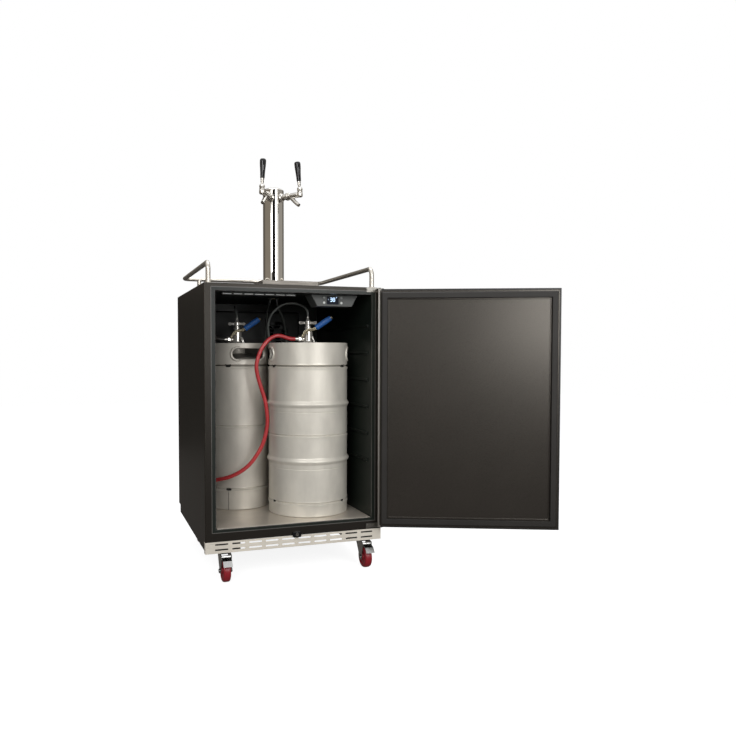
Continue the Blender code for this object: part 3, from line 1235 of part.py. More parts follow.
def make_tap(side, label):
    """Faucet on its shank, with the lever's ferrule and the black handle."""
    turn = math.radians(-90) + side * TAP_SPREAD
    root = pivot(f"tap_axis_{label}", (0, TOWER_Y, SHANK_HEIGHT), (0, 0, turn))
    collar = TOWER_RADIUS + GAP
    shoulder = TAP_REACH - BONNET_RADIUS / 2
    profile = [(0, shoulder), (TAP_BODY_RADIUS, shoulder), (TAP_BODY_RADIUS, NUT_END), (NUT_RADIUS, NUT_END),
               (NUT_RADIUS, NUT_START), (SHANK_RADIUS, NUT_START), (SHANK_RADIUS, collar + COLLAR_DEPTH),
               (COLLAR_RADIUS, collar + COLLAR_DEPTH), (COLLAR_RADIUS, collar + COLLAR_DEPTH / 2),
               (COLLAR_RADIUS * math.cos(math.radians(20)), collar + COLLAR_DEPTH / 2),
               (SHANK_RADIUS, collar), (SHANK_RADIUS, TAIL_ROUTE[1][0]), (0, TAIL_ROUTE[1][0])]
    faucet = turned(f"faucet_{label}", profile, "X", (0, 0, 0), SMALL_SIDES, False, root)
    bonnet_profile = [(share_r * BONNET_BALL, LEVER_RISE + share_z * BONNET_BALL)
                      for share_r, share_z in BONNET_SHOULDER_SHARES]
    bonnet_profile += [(share_r * BONNET_RADIUS, share_z * BONNET_FOOT)
                       for share_r, share_z in BONNET_FOOT_SHARES]
    bonnet = turned(f"bonnet_{label}", bonnet_profile, "Z", (TAP_REACH, 0, 0), SMALL_SIDES, False, root)
    route = [Vector((reach, 0, drop)) for reach, drop in SPOUT_ROUTE]
    spout = bent_tube(f"spout_{label}", route, SPOUT_RADIUS, 2, root)
    tip = route[-1]
    inward = (route[-2] - tip).normalized()
    bore = drum(f"spout_bore_{label}", tip - inward * OVERRUN, tip + inward * SPOUT_BORE_DEPTH,
                SPOUT_BORE, PIN_SIDES, root)
    tail_points = [(reach, 0, drop) for reach, drop in TAIL_ROUTE]
    tail = bent_tube(f"shank_tail_{label}", tail_points, TAIL_RADIUS, 2, root)
    fuse(faucet, bonnet, spout, tail)
    cut(faucet, bore)
    part(faucet, POLISHED, ROUND)
    lever_axis = pivot(f"lever_axis_{label}", (TAP_REACH, 0, LEVER_RISE), (0, -TAP_HANDLE_LEAN, 0), root)
    foot = BONNET_BALL + RUN_CLEARANCE
    top = foot + FERRULE_LENGTH
    ferrule = turned(
        f"tap_lever_{label}",
        [(0, top), (FERRULE_RADIUS, top), (FERRULE_RADIUS, (top + foot) / 2),
         (FERRULE_NECK_RADIUS, foot + GAP), (FERRULE_NECK_RADIUS, foot), (0, foot)],
        "Z", (0, 0, 0), PIN_SIDES, False, lever_axis)
    part(ferrule, POLISHED, ROUND)
    base = top + GAP
    length = TAP_HANDLE_LENGTH
    shares = ((0.0, 1.0), (0.60, 1.0), (0.93, 0.97), (1.0, 0.90), (0.97, 0.72), (0.78, 0.36))
    profile = [(TAP_HANDLE_TOP_RADIUS * r, base + length * z) for r, z in shares]
    profile += [(TAP_HANDLE_FOOT_RADIUS, base + GAP), (0, base)]
    handle = turned(f"tap_handle_{label}", profile, "Z", (0, 0, 0), SMALL_SIDES, False, lever_axis)
    part(handle, BLACK_PLASTIC, ROUND)


def make_drip_tray():
    """Drip tray in front of the tower with its lift-out grate."""
    near = FRONT + TRAY_FRONT_INSET
    far = near + TRAY_DEPTH
    foot = CABINET_HEIGHT + GAP
    top = foot + TRAY_HEIGHT
    half = TRAY_WIDTH / 2
    tray = block("drip_tray", (-half, near, foot), (half, far, top))
    soften(tray, TRAY_EDGE, 2, lambda middle, run: abs(run.z) > abs(run.x) + abs(run.y))
    seat = top - GRATE_DROP - GRATE_SHEET - GAP
    inset = TRAY_WALL
    recess = block("grate_seat", (-half + inset, near + inset, seat),
                   (half - inset, far - inset, top + OVERRUN))
    inset = TRAY_WALL + TRAY_LEDGE
    basin = block("tray_basin", (-half + inset, near + inset, foot + TRAY_WALL),
                  (half - inset, far - inset, top + OVERRUN))
    cut(tray, recess, basin)
    part(tray, BRUSHED)
    inset = TRAY_WALL + RUN_CLEARANCE
    grate = block("drip_grate", (-half + inset, near + inset, seat + GAP),
                  (half - inset, far - inset, seat + GAP + GRATE_SHEET))
    for index in range(GRATE_SLOT_COUNT):
        middle = (index - (GRATE_SLOT_COUNT - 1) / 2) * GRATE_SLOT_PITCH
        cut(grate, block(f"grate_slot_{index}",
                         (middle - GRATE_SLOT_WIDTH / 2, near + GRATE_SLOT_MARGIN, seat - OVERRUN),
                         (middle + GRATE_SLOT_WIDTH / 2, far - GRATE_SLOT_MARGIN, top + OVERRUN)))
    part(grate, BRUSHED)


def door_block(name, inset, low_y, high_y, hinge):
    """A block in the door's own space, inset alike from its four edges."""
    right = PIN_FROM_EDGE - inset
    left = PIN_FROM_EDGE - DOOR_WIDTH + inset
    return block(name, (left, low_y, DOOR_BOTTOM + inset), (right, high_y, DOOR_TOP - inset), hinge)


def pin_holes(name, hinge):
    """Holes for the hinge pins at the door's top and bottom."""
    radius = PIN_RADIUS + PIN_CLEARANCE
    depth = PIN_LENGTH + RUN_CLEARANCE
    ends = (("top", DOOR_TOP - depth, DOOR_TOP + OVERRUN), ("bottom", DOOR_BOTTOM - OVERRUN, DOOR_BOTTOM + depth))
    return [drum(f"{name}_{end}", (0, 0, low), (0, 0, high), radius, SMALL_SIDES, hinge)
            for end, low, high in ends]


def make_door():
    """Door on its hinge pins: stainless pan, foam, inner panel, gasket and handle."""
    hinge = pivot("door_axis", (PIN_X, PIN_Y, 0), (0, 0, DOOR_OPEN))
    inner = PIN_FROM_INNER_FACE
    outer = inner - DOOR_THICKNESS
    skin = door_block("door_skin", 0, outer, inner, hinge)

    def face_edge(middle, run):
        return middle.y < outer + WELD_DISTANCE

    soften(skin, DOOR_EDGE, 2, face_edge)
    pan = door_block("door_pan_inside", DOOR_SHEET, outer + DOOR_SHEET, inner - DOOR_SHEET, hinge)
    mouth = door_block("door_pan_mouth", DOOR_RETURN, inner - 2 * DOOR_SHEET, inner + OVERRUN, hinge)
    cut(skin, pan, mouth, *pin_holes("skin_pin_hole", hinge))
    part(skin, BRUSHED)

    panel_back = inner - DOOR_PANEL_DEPTH
    foam = door_block("door_foam", DOOR_SHEET + GAP, outer + DOOR_SHEET + GAP, panel_back - GAP, hinge)
    cut(foam, *pin_holes("foam_pin_hole", hinge))
    part(foam, FOAM)

    panel = door_block("door_panel", DOOR_RETURN + GAP, panel_back, inner + DOOR_PANEL_PROUD, hinge)
    channel_floor = inner + DOOR_PANEL_PROUD - GASKET_CHANNEL_DEPTH
    channel = door_block("gasket_channel", GASKET_INSET - GAP, channel_floor, inner + OVERRUN, hinge)
    island = door_block("gasket_island", GASKET_INSET + GASKET_WIDTH + GAP, channel_floor - OVERRUN,
                        inner + 2 * OVERRUN, hinge)
    cut(channel, island)
    recess = door_block("panel_recess", PANEL_RECESS_INSET, inner + DOOR_PANEL_PROUD - PANEL_RECESS,
                        inner + OVERRUN, hinge)
    cut(panel, channel, recess)
    part(panel, BLACK_PLASTIC)

    gasket_face = inner + DOOR_STANDOFF - GASKET_GAP_TO_FRAME
    gasket = door_block("door_gasket", GASKET_INSET, channel_floor + GAP, gasket_face, hinge)
    soften(gasket, GASKET_EDGE, 1, lambda middle, run: middle.y > gasket_face - WELD_DISTANCE)
    window = door_block("gasket_window", GASKET_INSET + GASKET_WIDTH, channel_floor - OVERRUN,
                        gasket_face + OVERRUN, hinge)
    cut(gasket, window)
    part(gasket, GASKET_RUBBER)

    x = PIN_FROM_EDGE - DOOR_WIDTH + HANDLE_FROM_EDGE
    face_y = outer - GAP
    bar_y = face_y - HANDLE_STANDOFF
    handle = drum("door_handle", (x, bar_y, HANDLE_BOTTOM), (x, bar_y, HANDLE_TOP), HANDLE_RADIUS,
                  SMALL_SIDES, hinge)
    soften(handle, HANDLE_FOOT / 2, 1)
    for label, z in (("low", HANDLE_BOTTOM + HANDLE_POST_INSET), ("high", HANDLE_TOP - HANDLE_POST_INSET)):
        fuse(handle,
             drum(f"handle_post_{label}", (x, bar_y, z), (x, face_y, z), HANDLE_POST_RADIUS, PIN_SIDES,
                  hinge),
             drum(f"handle_foot_{label}", (x, face_y - HANDLE_FOOT, z), (x, face_y, z), HANDLE_FOOT_RADIUS,
                  SMALL_SIDES, hinge))
    part(handle, BRUSHED, ROUND)


def make_hinge(name, upper):
    """Hinge bracket: a leaf screwed to the front frame, and a tongue with the door's pin."""
    leaf_back = FRONT - GAP
    leaf_front = leaf_back - HINGE_LEAF
    right = HALF_WIDTH - HINGE_LEAF_SIDE_INSET
    left = right - HINGE_LEAF_WIDTH
    if upper:
        tongue_low = DOOR_TOP + RUN_CLEARANCE
        tongue_high = tongue_low + HINGE_TONGUE
        leaf_high = CABINET_HEIGHT - HINGE_TOP_LEAF_INSET
        leaf_low = leaf_high - HINGE_LEAF_HEIGHT
        pin_end = tongue_low - PIN_LENGTH
    else:
        tongue_high = DOOR_BOTTOM - RUN_CLEARANCE
        tongue_low = tongue_high - HINGE_TONGUE
        leaf_low = HINGE_BOTTOM_LEAF_FOOT
        leaf_high = leaf_low + HINGE_LEAF_HEIGHT
        pin_end = tongue_high + PIN_LENGTH
    leaf = block(name, (left, leaf_front, leaf_low), (right, leaf_back, leaf_high))
    half = HINGE_TONGUE_WIDTH / 2
    outline = [(PIN_X + half, leaf_back)] + [(PIN_X - half, leaf_back)]
    outline += arc((PIN_X, PIN_Y), half, 180, 360, 6)
    tongue = extruded(f"{name}_tongue", outline, "Z", tongue_low, tongue_high)
    pin = drum(f"{name}_pin", (PIN_X, PIN_Y, pin_end), (PIN_X, PIN_Y, (tongue_low + tongue_high) / 2),
               PIN_RADIUS, PIN_SIDES)
    fuse(leaf, tongue, pin)
    screw_z = (leaf_low + leaf_high) / 2
    for index, x in enumerate((left + HINGE_SCREW_INSET, right - HINGE_SCREW_INSET - HINGE_TONGUE_WIDTH)):
        fuse(leaf, drum(f"{name}_screw_{index}", (x, leaf_back, screw_z),
                        (x, leaf_front - HINGE_SCREW, screw_z), HINGE_SCREW_RADIUS, 8))
    part(leaf, GALVANISED)


def make_lock():
    """Lock on the bottom rail: a rounded case and its turning key plug."""
    back = FRONT - GAP
    front = back - LOCK_PROUD
    half = LOCK_WIDTH / 2
    case = block("lock_case", (-half, front, LOCK_BOTTOM), (half, back, LOCK_TOP))
    soften(case, LOCK_EDGE, 2, lambda middle, run: abs(run.y) > abs(run.x) + abs(run.z))
    z = (LOCK_TOP + LOCK_BOTTOM) / 2
    pocket = drum("key_pocket", (0, front - OVERRUN, z), (0, front + KEY_PLUG_DEPTH + GAP, z),
                  KEY_PLUG_RADIUS + GAP, SMALL_SIDES)
    cut(case, pocket)
    part(case, BLACK_PLASTIC)
    plug = drum("lock_plug", (0, front, z), (0, front + KEY_PLUG_DEPTH, z), KEY_PLUG_RADIUS, SMALL_SIDES)
    slot = block("key_slot", (-KEY_SLOT_WIDTH / 2, front - OVERRUN, z - KEY_SLOT_HEIGHT / 2),
                 (KEY_SLOT_WIDTH / 2, front + KEY_SLOT_DEPTH, z + KEY_SLOT_HEIGHT / 2))
    cut(plug, slot)
    for item in (plug, slot):
        shift(item, (0, front, z))
    part(plug, GALVANISED, ROUND)


def hoop(radius, height):
    """Profile points of a rolling hoop, top to bottom."""
    return [(radius, height + HOOP_HALF), (radius + HOOP_PROUD, height + HOOP_HALF / 2),
            (radius + HOOP_PROUD, height - HOOP_HALF / 2), (radius, height - HOOP_HALF)]


def seam(radius, height):
    """Profile points of a narrow rolled-in seam, top to bottom."""
    return [(radius, height + KEG_SEAM), (radius - KEG_SEAM, height), (radius, height - KEG_SEAM)]


def keg_inside(radius, collar_seam, chime_seam, seams, recess, dome_middle, dome_top):
    """Profile points of a keg's empty inside, from its floor's centre up to the neck's bore."""
    wall = radius - KEG_SHELL
    pinched = wall - KEG_SEAM
    floor = recess + KEG_SHELL
    points = [(0, floor), (pinched, floor), (pinched, chime_seam + KEG_SEAM),
              (wall, chime_seam + 3 * KEG_SEAM)]
    for height in reversed(seams):
        points += seam(wall, height)[::-1]
    points += [(wall, collar_seam - 3 * KEG_SEAM), (pinched, collar_seam - KEG_SEAM / 2),
               (dome_middle[0], dome_middle[1] - KEG_SHELL), (KEG_BORE_RADIUS, dome_top - KEG_SHELL)]
    return points


def make_keg(name, radius, x, from_front, hoops, seams, hole_turn):
    """Turned keg, empty inside: collar with two hand holes, domed head with its neck, foot chime."""
    collar_seam = KEG_TOP - KEG_COLLAR_HEIGHT
    chime_seam = KEG_FOOT + KEG_CHIME_HEIGHT
    inner = radius - KEG_WALL
    dome_edge = KEG_TOP - KEG_DOME_DROP
    dome_top = dome_edge + KEG_DOME_RISE
    dome_middle = ((inner + KEG_NECK_RADIUS) / 2, (dome_top + dome_edge) / 2 + KEG_DOME_RISE / 4)
    recess = KEG_FOOT + KEG_FOOT_RECESS
    profile = keg_inside(radius, collar_seam, chime_seam, seams, recess, dome_middle, dome_top)
    profile += [(KEG_BORE_RADIUS, NECK_TOP), (KEG_NECK_RADIUS, NECK_TOP), (KEG_NECK_RADIUS, dome_top),
                dome_middle, (inner, dome_edge), (inner, KEG_TOP - KEG_RIM_ROLL),
                (inner + KEG_WALL / 2, KEG_TOP), (radius, KEG_TOP - KEG_RIM_ROLL)]
    profile += seam(radius, collar_seam)
    for height in hoops:
        profile += hoop(radius, height)
    for height in seams:
        profile += seam(radius, height)
    profile += seam(radius, chime_seam)
    profile += [(radius, KEG_FOOT + KEG_RIM_ROLL), (radius - KEG_RIM_ROLL, KEG_FOOT),
                (inner - KEG_RIM_ROLL, KEG_FOOT), (inner - KEG_RIM_ROLL, recess), (0, recess)]
    y = FRONT + from_front
    keg = turned(name, profile, "Z", (x, y, 0), KEG_SIDES)
    low = KEG_TOP - HAND_HOLE_DROP - HAND_HOLE_HEIGHT / 2
    end = HAND_HOLE_HEIGHT / 2
    half = HAND_HOLE_WIDTH / 2 - end
    depth = math.sqrt(radius ** 2 - (half + end) ** 2) - KEG_WALL - OVERRUN
    outline = arc((half, low + end), end, -90, 90, 4) + arc((-half, low + end), end, 90, 270, 4)
    for index, flip in enumerate((0, math.pi)):
        hole = extruded(f"{name}_hand_hole_{index}", outline, "Y", depth, radius + OVERRUN)
        turn = Matrix.Rotation(hole_turn + flip - math.radians(90), 4, "Z")
        hole.data.transform(Matrix.Translation((x, y, 0)) @ turn)
        cut(keg, hole)
    part(keg, KEG_STEEL, ROUND)


def make_coupler(label, x, from_front):
    """Keg coupler: turned body with gas inlet and wing nut, the lever's yoke and its blue grip."""
    y = FRONT + from_front
    root = pivot(f"coupler_axis_{label}", (x, y, COUPLER_BASE), (0, 0, COUPLER_LEVER_TURN))
    neck_foot = COUPLER_BODY_TOP + COUPLER_STEM_RADIUS / 4
    profile = [
        (0, NIPPLE_TOP), (NIPPLE_RADIUS, NIPPLE_TOP), (NIPPLE_RADIUS, WING_NUT_TOP + NIPPLE_CONE_RADIUS),
        (NIPPLE_CONE_RADIUS, WING_NUT_TOP), (WING_NUT_RADIUS, WING_NUT_TOP),
        (WING_NUT_RADIUS, WING_NUT_BOTTOM), (COUPLER_STEM_RADIUS, WING_NUT_BOTTOM),
        (COUPLER_STEM_RADIUS, neck_foot), (COUPLER_BODY_RADIUS, COUPLER_BODY_TOP),
        (COUPLER_BODY_RADIUS, COUPLER_SKIRT_TOP + GAS_INLET_RADIUS / 4),
        (COUPLER_SKIRT_RADIUS, COUPLER_SKIRT_TOP), (COUPLER_SKIRT_RADIUS, COUPLER_FLANGE),
        (COUPLER_FLANGE_RADIUS, COUPLER_FLANGE), (COUPLER_FLANGE_RADIUS, 0), (0, 0)]
    body = turned(f"coupler_body_{label}", profile, "Z", (0, 0, 0), SMALL_SIDES, False, root)
    wing_z = (WING_NUT_TOP + WING_NUT_BOTTOM) / 2
    wings = block(f"wings_{label}", (-WING_SPAN / 2, -WING_THICKNESS / 2, wing_z - WING_HEIGHT / 2),
                  (WING_SPAN / 2, WING_THICKNESS / 2, wing_z + WING_HEIGHT / 2), root)
    soften(wings, WING_THICKNESS / 4, 1)
    direction = Vector((-math.cos(COUPLER_LEVER_TURN), math.sin(COUPLER_LEVER_TURN), 0))
    base = Vector((0, 0, GAS_INLET_HEIGHT))
    inlet = drum(f"gas_inlet_{label}", base, base + direction * GAS_INLET_REACH, GAS_INLET_RADIUS,
                 PIN_SIDES, root, GAS_INLET_RADIUS * 3 / 4)
    nut = drum(f"gas_nut_{label}", base + direction * GAS_NUT_START, base + direction * GAS_NUT_END,
               GAS_NUT_RADIUS, 6, root)
    fuse(body, wings, inlet, nut)
    part(body, POLISHED, ROUND)

    axis = pivot(f"coupler_lever_axis_{label}", (0, 0, LEVER_PIVOT_HEIGHT), (0, -COUPLER_LEVER_RISE, 0),
                 root)
    inner = COUPLER_BODY_RADIUS + GAP
    outer = inner + YOKE_ARM
    half = YOKE_THICKNESS / 2
    side_outline = [(YOKE_FRONT, -half), (YOKE_FRONT, half)]
    side_outline += [(-YOKE_BACK + half, half)]
    side_outline += arc((-YOKE_BACK + half, 0), half, 120, 240, 3)
    side_outline += [(-YOKE_BACK + half, -half)]
    yoke = extruded(f"coupler_lever_{label}", side_outline, "Y", -outer, outer, axis)
    space = block(f"yoke_space_{label}", (-YOKE_BACK - OVERRUN, -inner, -half - OVERRUN),
                  (YOKE_MOUTH, inner, half + OVERRUN), axis)
    cut(yoke, space)
    rod = drum(f"lever_rod_{label}", ((YOKE_MOUTH + YOKE_FRONT) / 2, 0, 0), (LEVER_END - GAP, 0, 0),
               LEVER_ROD_RADIUS, PIN_SIDES, axis)
    knob = drum(f"lever_end_{label}", (GRIP_END + GAP, 0, 0), (LEVER_END, 0, 0), LEVER_END_RADIUS,
                SMALL_SIDES, axis)
    fuse(yoke, rod, knob)
    part(yoke, BRASS, ROUND)

    length = GRIP_END - GRIP_START
    soft = length * GRIP_SOFT_SHARE
    bore = LEVER_ROD_RADIUS + GAP
    profile = [(bore, GRIP_END), (GRIP_RADIUS - GRIP_GROOVE, GRIP_END), (GRIP_RADIUS, GRIP_END - soft)]
    for share in reversed(GRIP_GROOVE_SHARES):
        middle = GRIP_START + length * share
        profile += [(GRIP_RADIUS, middle + GRIP_GROOVE), (GRIP_RADIUS - GRIP_GROOVE, middle),
                    (GRIP_RADIUS, middle - GRIP_GROOVE)]
    profile += [(GRIP_RADIUS, GRIP_START + soft / 2), (GRIP_RADIUS - GRIP_GROOVE, GRIP_START),
                (bore, GRIP_START)]
    grip = turned(f"coupler_grip_{label}", profile, "X", (0, 0, 0), SMALL_SIDES, True, axis)
    part(grip, BLUE_GRIP, ROUND)


def make_hoses():
    """The two gas hoses and the two beer lines along their routes."""
    for name, route, diameter, spacing, material in (
            ("gas_hose_right", RIGHT_GAS_ROUTE, GAS_HOSE_DIAMETER, GAS_HOSE_STEP, RED_RUBBER),
            ("gas_hose_left", LEFT_GAS_ROUTE, GAS_HOSE_DIAMETER, GAS_HOSE_STEP, RED_RUBBER),
            ("beer_line_right", RIGHT_BEER_ROUTE, BEER_LINE_DIAMETER, BEER_LINE_STEP, CLEAR_LINE),
            ("beer_line_left", LEFT_BEER_ROUTE, BEER_LINE_DIAMETER, BEER_LINE_STEP, CLEAR_LINE)):
        part(bent_tube(name, smooth_route(route, spacing), diameter / 2), material, ROUND)


make_case()
make_foam()
make_liner()
make_floor_plate()
make_back_cover()
make_base_frame()
make_kick_grille()
for caster_name, caster_x, caster_y in caster_places():
    make_caster(caster_name, caster_x, caster_y, caster_name.startswith("front"))
make_compressor()
make_condenser()
make_evaporator()
make_control()
make_vent()
make_guard_rail()
make_tower()
make_tap(-1, "left")
make_tap(1, "right")
make_drip_tray()
make_door()
make_hinge("top_hinge", True)
make_hinge("bottom_hinge", False)
make_lock()
make_keg("keg_right", RIGHT_KEG_RADIUS, RIGHT_KEG_X, RIGHT_KEG_FROM_FRONT, RIGHT_KEG_HOOPS, (),
         RIGHT_HAND_HOLE)
make_keg("keg_left", LEFT_KEG_RADIUS, LEFT_KEG_X, LEFT_KEG_FROM_FRONT, (), LEFT_KEG_SEAMS,
         LEFT_HAND_HOLE)
make_coupler("right", RIGHT_KEG_X, RIGHT_KEG_FROM_FRONT)
make_coupler("left", LEFT_KEG_X, LEFT_KEG_FROM_FRONT)
make_hoses()
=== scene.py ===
# %% [markdown]
# # A two-keg beer cooler with its draft tower
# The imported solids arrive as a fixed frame, with every place and size already right.
# This lesson gives them finer shapes, finishes, light and a camera.

# %% Load the frame
import math

import bpy
from mathutils import Matrix, Vector


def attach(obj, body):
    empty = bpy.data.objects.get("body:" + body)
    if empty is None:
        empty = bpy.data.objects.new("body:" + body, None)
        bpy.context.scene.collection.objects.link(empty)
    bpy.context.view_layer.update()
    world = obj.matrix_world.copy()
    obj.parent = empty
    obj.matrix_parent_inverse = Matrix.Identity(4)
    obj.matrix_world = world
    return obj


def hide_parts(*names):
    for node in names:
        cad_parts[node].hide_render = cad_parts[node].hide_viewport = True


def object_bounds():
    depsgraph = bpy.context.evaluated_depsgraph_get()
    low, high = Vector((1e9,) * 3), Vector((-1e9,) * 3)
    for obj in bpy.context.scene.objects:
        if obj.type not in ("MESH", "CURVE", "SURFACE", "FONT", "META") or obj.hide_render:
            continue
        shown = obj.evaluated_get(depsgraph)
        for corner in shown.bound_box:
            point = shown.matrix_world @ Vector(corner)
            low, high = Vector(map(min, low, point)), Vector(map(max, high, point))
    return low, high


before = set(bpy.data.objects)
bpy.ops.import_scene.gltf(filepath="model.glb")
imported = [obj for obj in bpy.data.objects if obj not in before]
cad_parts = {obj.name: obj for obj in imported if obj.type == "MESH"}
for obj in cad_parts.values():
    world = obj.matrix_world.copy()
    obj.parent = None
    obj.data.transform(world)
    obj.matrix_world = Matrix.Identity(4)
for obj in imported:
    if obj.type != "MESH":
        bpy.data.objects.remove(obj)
solid_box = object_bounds()
print("the solids span", [round(high - low, 3) for low, high in zip(*solid_box)])

# %% [markdown]
# ## The camera
# The cabinet was photographed from a little left of its front, at the height of its door
# handle. A camera can shift its image instead of tilting, which keeps upright edges upright,
# so the shift carries the last part of the framing.

# %% Camera
camera_data = bpy.data.cameras.new("photo_camera")
camera_data.sensor_width = 36.0
camera_data.lens = 34.10
camera_data.shift_x = 0.0645
camera_data.shift_y = 0.01427
camera = bpy.data.objects.new("photo_camera", camera_data)
camera.location = (-0.6665, -2.5277, 0.6072)
camera.rotation_euler = (math.radians(87.90), 0.0, math.radians(-18.78))
bpy.context.scene.collection.objects.link(camera)
bpy.context.scene.camera = camera
print("camera lens", camera_data.lens, "mm")

# %% [markdown]
# ## Selecting and placing
# An operator works on whatever is selected, so each step begins from an empty selection.
# A finished piece keeps its place in its mesh and its object stays at the origin, so `place`
# moves the object and then applies the move.

# %% Selecting and placing
def start():
    """Leave edit mode and deselect everything."""
    if bpy.context.object and bpy.context.object.mode != "OBJECT":
        bpy.ops.object.mode_set(mode="OBJECT")
    bpy.ops.object.select_all(action="DESELECT")


def select(*pieces):
    """Select only these pieces, with the first one active."""
    start()
    for piece in pieces:
        piece.select_set(True)
    bpy.context.view_layer.objects.active = pieces[0]


def seat(spot, *turns):
    """Matrix that turns a piece about its own origin, by (axis, degrees) in order, then moves it."""
    matrix = Matrix.Identity(4)
    for axis, degrees in turns:
        matrix = Matrix.Rotation(math.radians(degrees), 4, axis) @ matrix
    return Matrix.Translation(spot) @ matrix


def place(piece, matrix):
    """Put a piece where a matrix says, and keep the place in its mesh."""
    select(piece)
    piece.matrix_world = matrix
    bpy.ops.object.transform_apply(location=True, rotation=True, scale=True)
    return piece


def smooth(piece, degrees=35):
    """Shade a piece smooth but for the edges sharper than an angle."""
    select(piece)
    bpy.ops.object.shade_smooth_by_angle(angle=math.radians(degrees))
    return piece


print("helpers for selecting and placing are ready")

# %% [markdown]
# ## Floor, world and lamps
# A product photograph on white has light from all round. The world shows white to the camera
# and to mirror-like surfaces, but gives less to dull ones, which the lamps then light. The
# floor gives back a little light of its own so that it stays white round a soft shadow.

# %% World
def seen_directly(tree):
    """A node that is 1 for camera, mirror and see-through rays, and 0 for diffuse light."""
    path = tree.nodes.new("ShaderNodeLightPath")
    first = tree.nodes.new("ShaderNodeMath")
    first.operation = "MAXIMUM"
    second = tree.nodes.new("ShaderNodeMath")
    second.operation = "MAXIMUM"
    tree.links.new(path.outputs["Is Camera Ray"], first.inputs[0])
    tree.links.new(path.outputs["Is Glossy Ray"], first.inputs[1])
    tree.links.new(first.outputs[0], second.inputs[0])
    tree.links.new(path.outputs["Is Transmission Ray"], second.inputs[1])
    return second.outputs[0]


def light_world(fill):
    """White world as seen, and a grey one as light."""
    world = bpy.data.worlds.new("studio")
    bpy.context.scene.world = world
    world.use_nodes = True
    tree = world.node_tree
    light = tree.nodes["Background"]
    light.inputs["Color"].default_value = (fill, fill, fill, 1.0)
    white = tree.nodes.new("ShaderNodeBackground")
    white.inputs["Color"].default_value = (1.0, 1.0, 1.0, 1.0)
    mix = tree.nodes.new("ShaderNodeMixShader")
    tree.links.new(seen_directly(tree), mix.inputs[0])
    tree.links.new(light.outputs[0], mix.inputs[1])
    tree.links.new(white.outputs[0], mix.inputs[2])
    tree.links.new(mix.outputs[0], tree.nodes["World Output"].inputs["Surface"])


light_world(fill=0.30)
print("world is white to the camera")

# %% Floor
def lay_floor(size, albedo, glow):
    """A wide pale floor under the wheels, which glows a little towards the camera."""
    start()
    bpy.ops.mesh.primitive_plane_add(size=size, location=(0, 0, solid_box[0][2]))
    floor = bpy.context.object
    floor.name = "studio_floor"
    material = bpy.data.materials.new("studio_floor")
    material.use_nodes = True
    tree = material.node_tree
    tree.nodes.remove(tree.nodes["Principled BSDF"])
    paper = tree.nodes.new("ShaderNodeBsdfDiffuse")
    paper.inputs["Color"].default_value = (albedo, albedo, albedo, 1.0)
    shine = tree.nodes.new("ShaderNodeEmission")
    strength = tree.nodes.new("ShaderNodeMath")
    strength.operation = "MULTIPLY"
    strength.inputs[1].default_value = glow
    total = tree.nodes.new("ShaderNodeAddShader")
    tree.links.new(seen_directly(tree), strength.inputs[0])
    tree.links.new(strength.outputs[0], shine.inputs["Strength"])
    tree.links.new(paper.outputs[0], total.inputs[0])
    tree.links.new(shine.outputs[0], total.inputs[1])
    tree.links.new(total.outputs[0], tree.nodes["Material Output"].inputs["Surface"])
    floor.data.materials.append(material)


lay_floor(size=16, albedo=0.46, glow=0.87)
print("floor at", round(solid_box[0][2], 4))

# %% Lamps
def softbox(name, spot, aim, width, height, power):
    """A large rectangular lamp that faces a point."""
    data = bpy.data.lights.new(name, "AREA")
    data.shape = "RECTANGLE"
    data.size = width
    data.size_y = height
    data.energy = power
    lamp = bpy.data.objects.new(name, data)
    lamp.location = spot
    lamp.rotation_euler = (Vector(aim) - Vector(spot)).to_track_quat("-Z", "Y").to_euler()
    bpy.context.scene.collection.objects.link(lamp)


softbox("key_light", (-1.9, -3.3, 2.2), aim=(0.0, 0.0, 0.5), width=1.5, height=1.8, power=56)
softbox("fill_light", (0.75, -3.5, 1.45), aim=(0.2, 0.0, 0.5), width=1.6, height=1.7, power=54)
softbox("top_light", (0.2, 0.2, 3.6), aim=(0.0, 0.0, 0.0), width=2.4, height=2.0, power=44)
print("three lamps")

# %% [markdown]
# ## Cards round the set
# Polished steel only shows what stands round it, and a photographer stands grey and black
# cards beside it to draw its edges. These cards have their own tone and are seen by
# mirror-like rays alone, so they shape the reflections on the tower, the rails and the dark
# paint, and put no shade on anything. The narrow one in front draws the tower's dark line.

# %% Cards
def hide_but_in_reflections(sheet, name, tone):
    """Give a card its own tone and let mirror-like rays alone see it."""
    sheet.name = name
    material = bpy.data.materials.new(name)
    material.use_nodes = True
    tree = material.node_tree
    tree.nodes.remove(tree.nodes["Principled BSDF"])
    shade = tree.nodes.new("ShaderNodeEmission")
    shade.inputs["Color"].default_value = (*tone, 1.0)
    tree.links.new(shade.outputs[0], tree.nodes["Material Output"].inputs["Surface"])
    sheet.data.materials.append(material)
    sheet.visible_camera = False
    sheet.visible_diffuse = False
    sheet.visible_shadow = False
    sheet.visible_transmission = False


def card(name, near, far, foot, head, tone):
    """An upright card over a line on the floor."""
    across = Vector(far) - Vector(near)
    middle = (Vector(far) + Vector(near)) / 2
    start()
    bpy.ops.mesh.primitive_plane_add(size=1, location=(*middle, (foot + head) / 2))
    sheet = bpy.context.object
    sheet.scale = (across.length, head - foot, 1)
    sheet.rotation_euler = (math.radians(90), 0, math.atan2(across.y, across.x))
    hide_but_in_reflections(sheet, name, tone)


def floor_card(name, size, lift, tone):
    """A wide card just over the floor, which keeps the floor's white out of the dark paint."""
    start()
    bpy.ops.mesh.primitive_plane_add(size=size, location=(0, 0, solid_box[0][2] + lift))
    hide_but_in_reflections(bpy.context.object, name, tone)


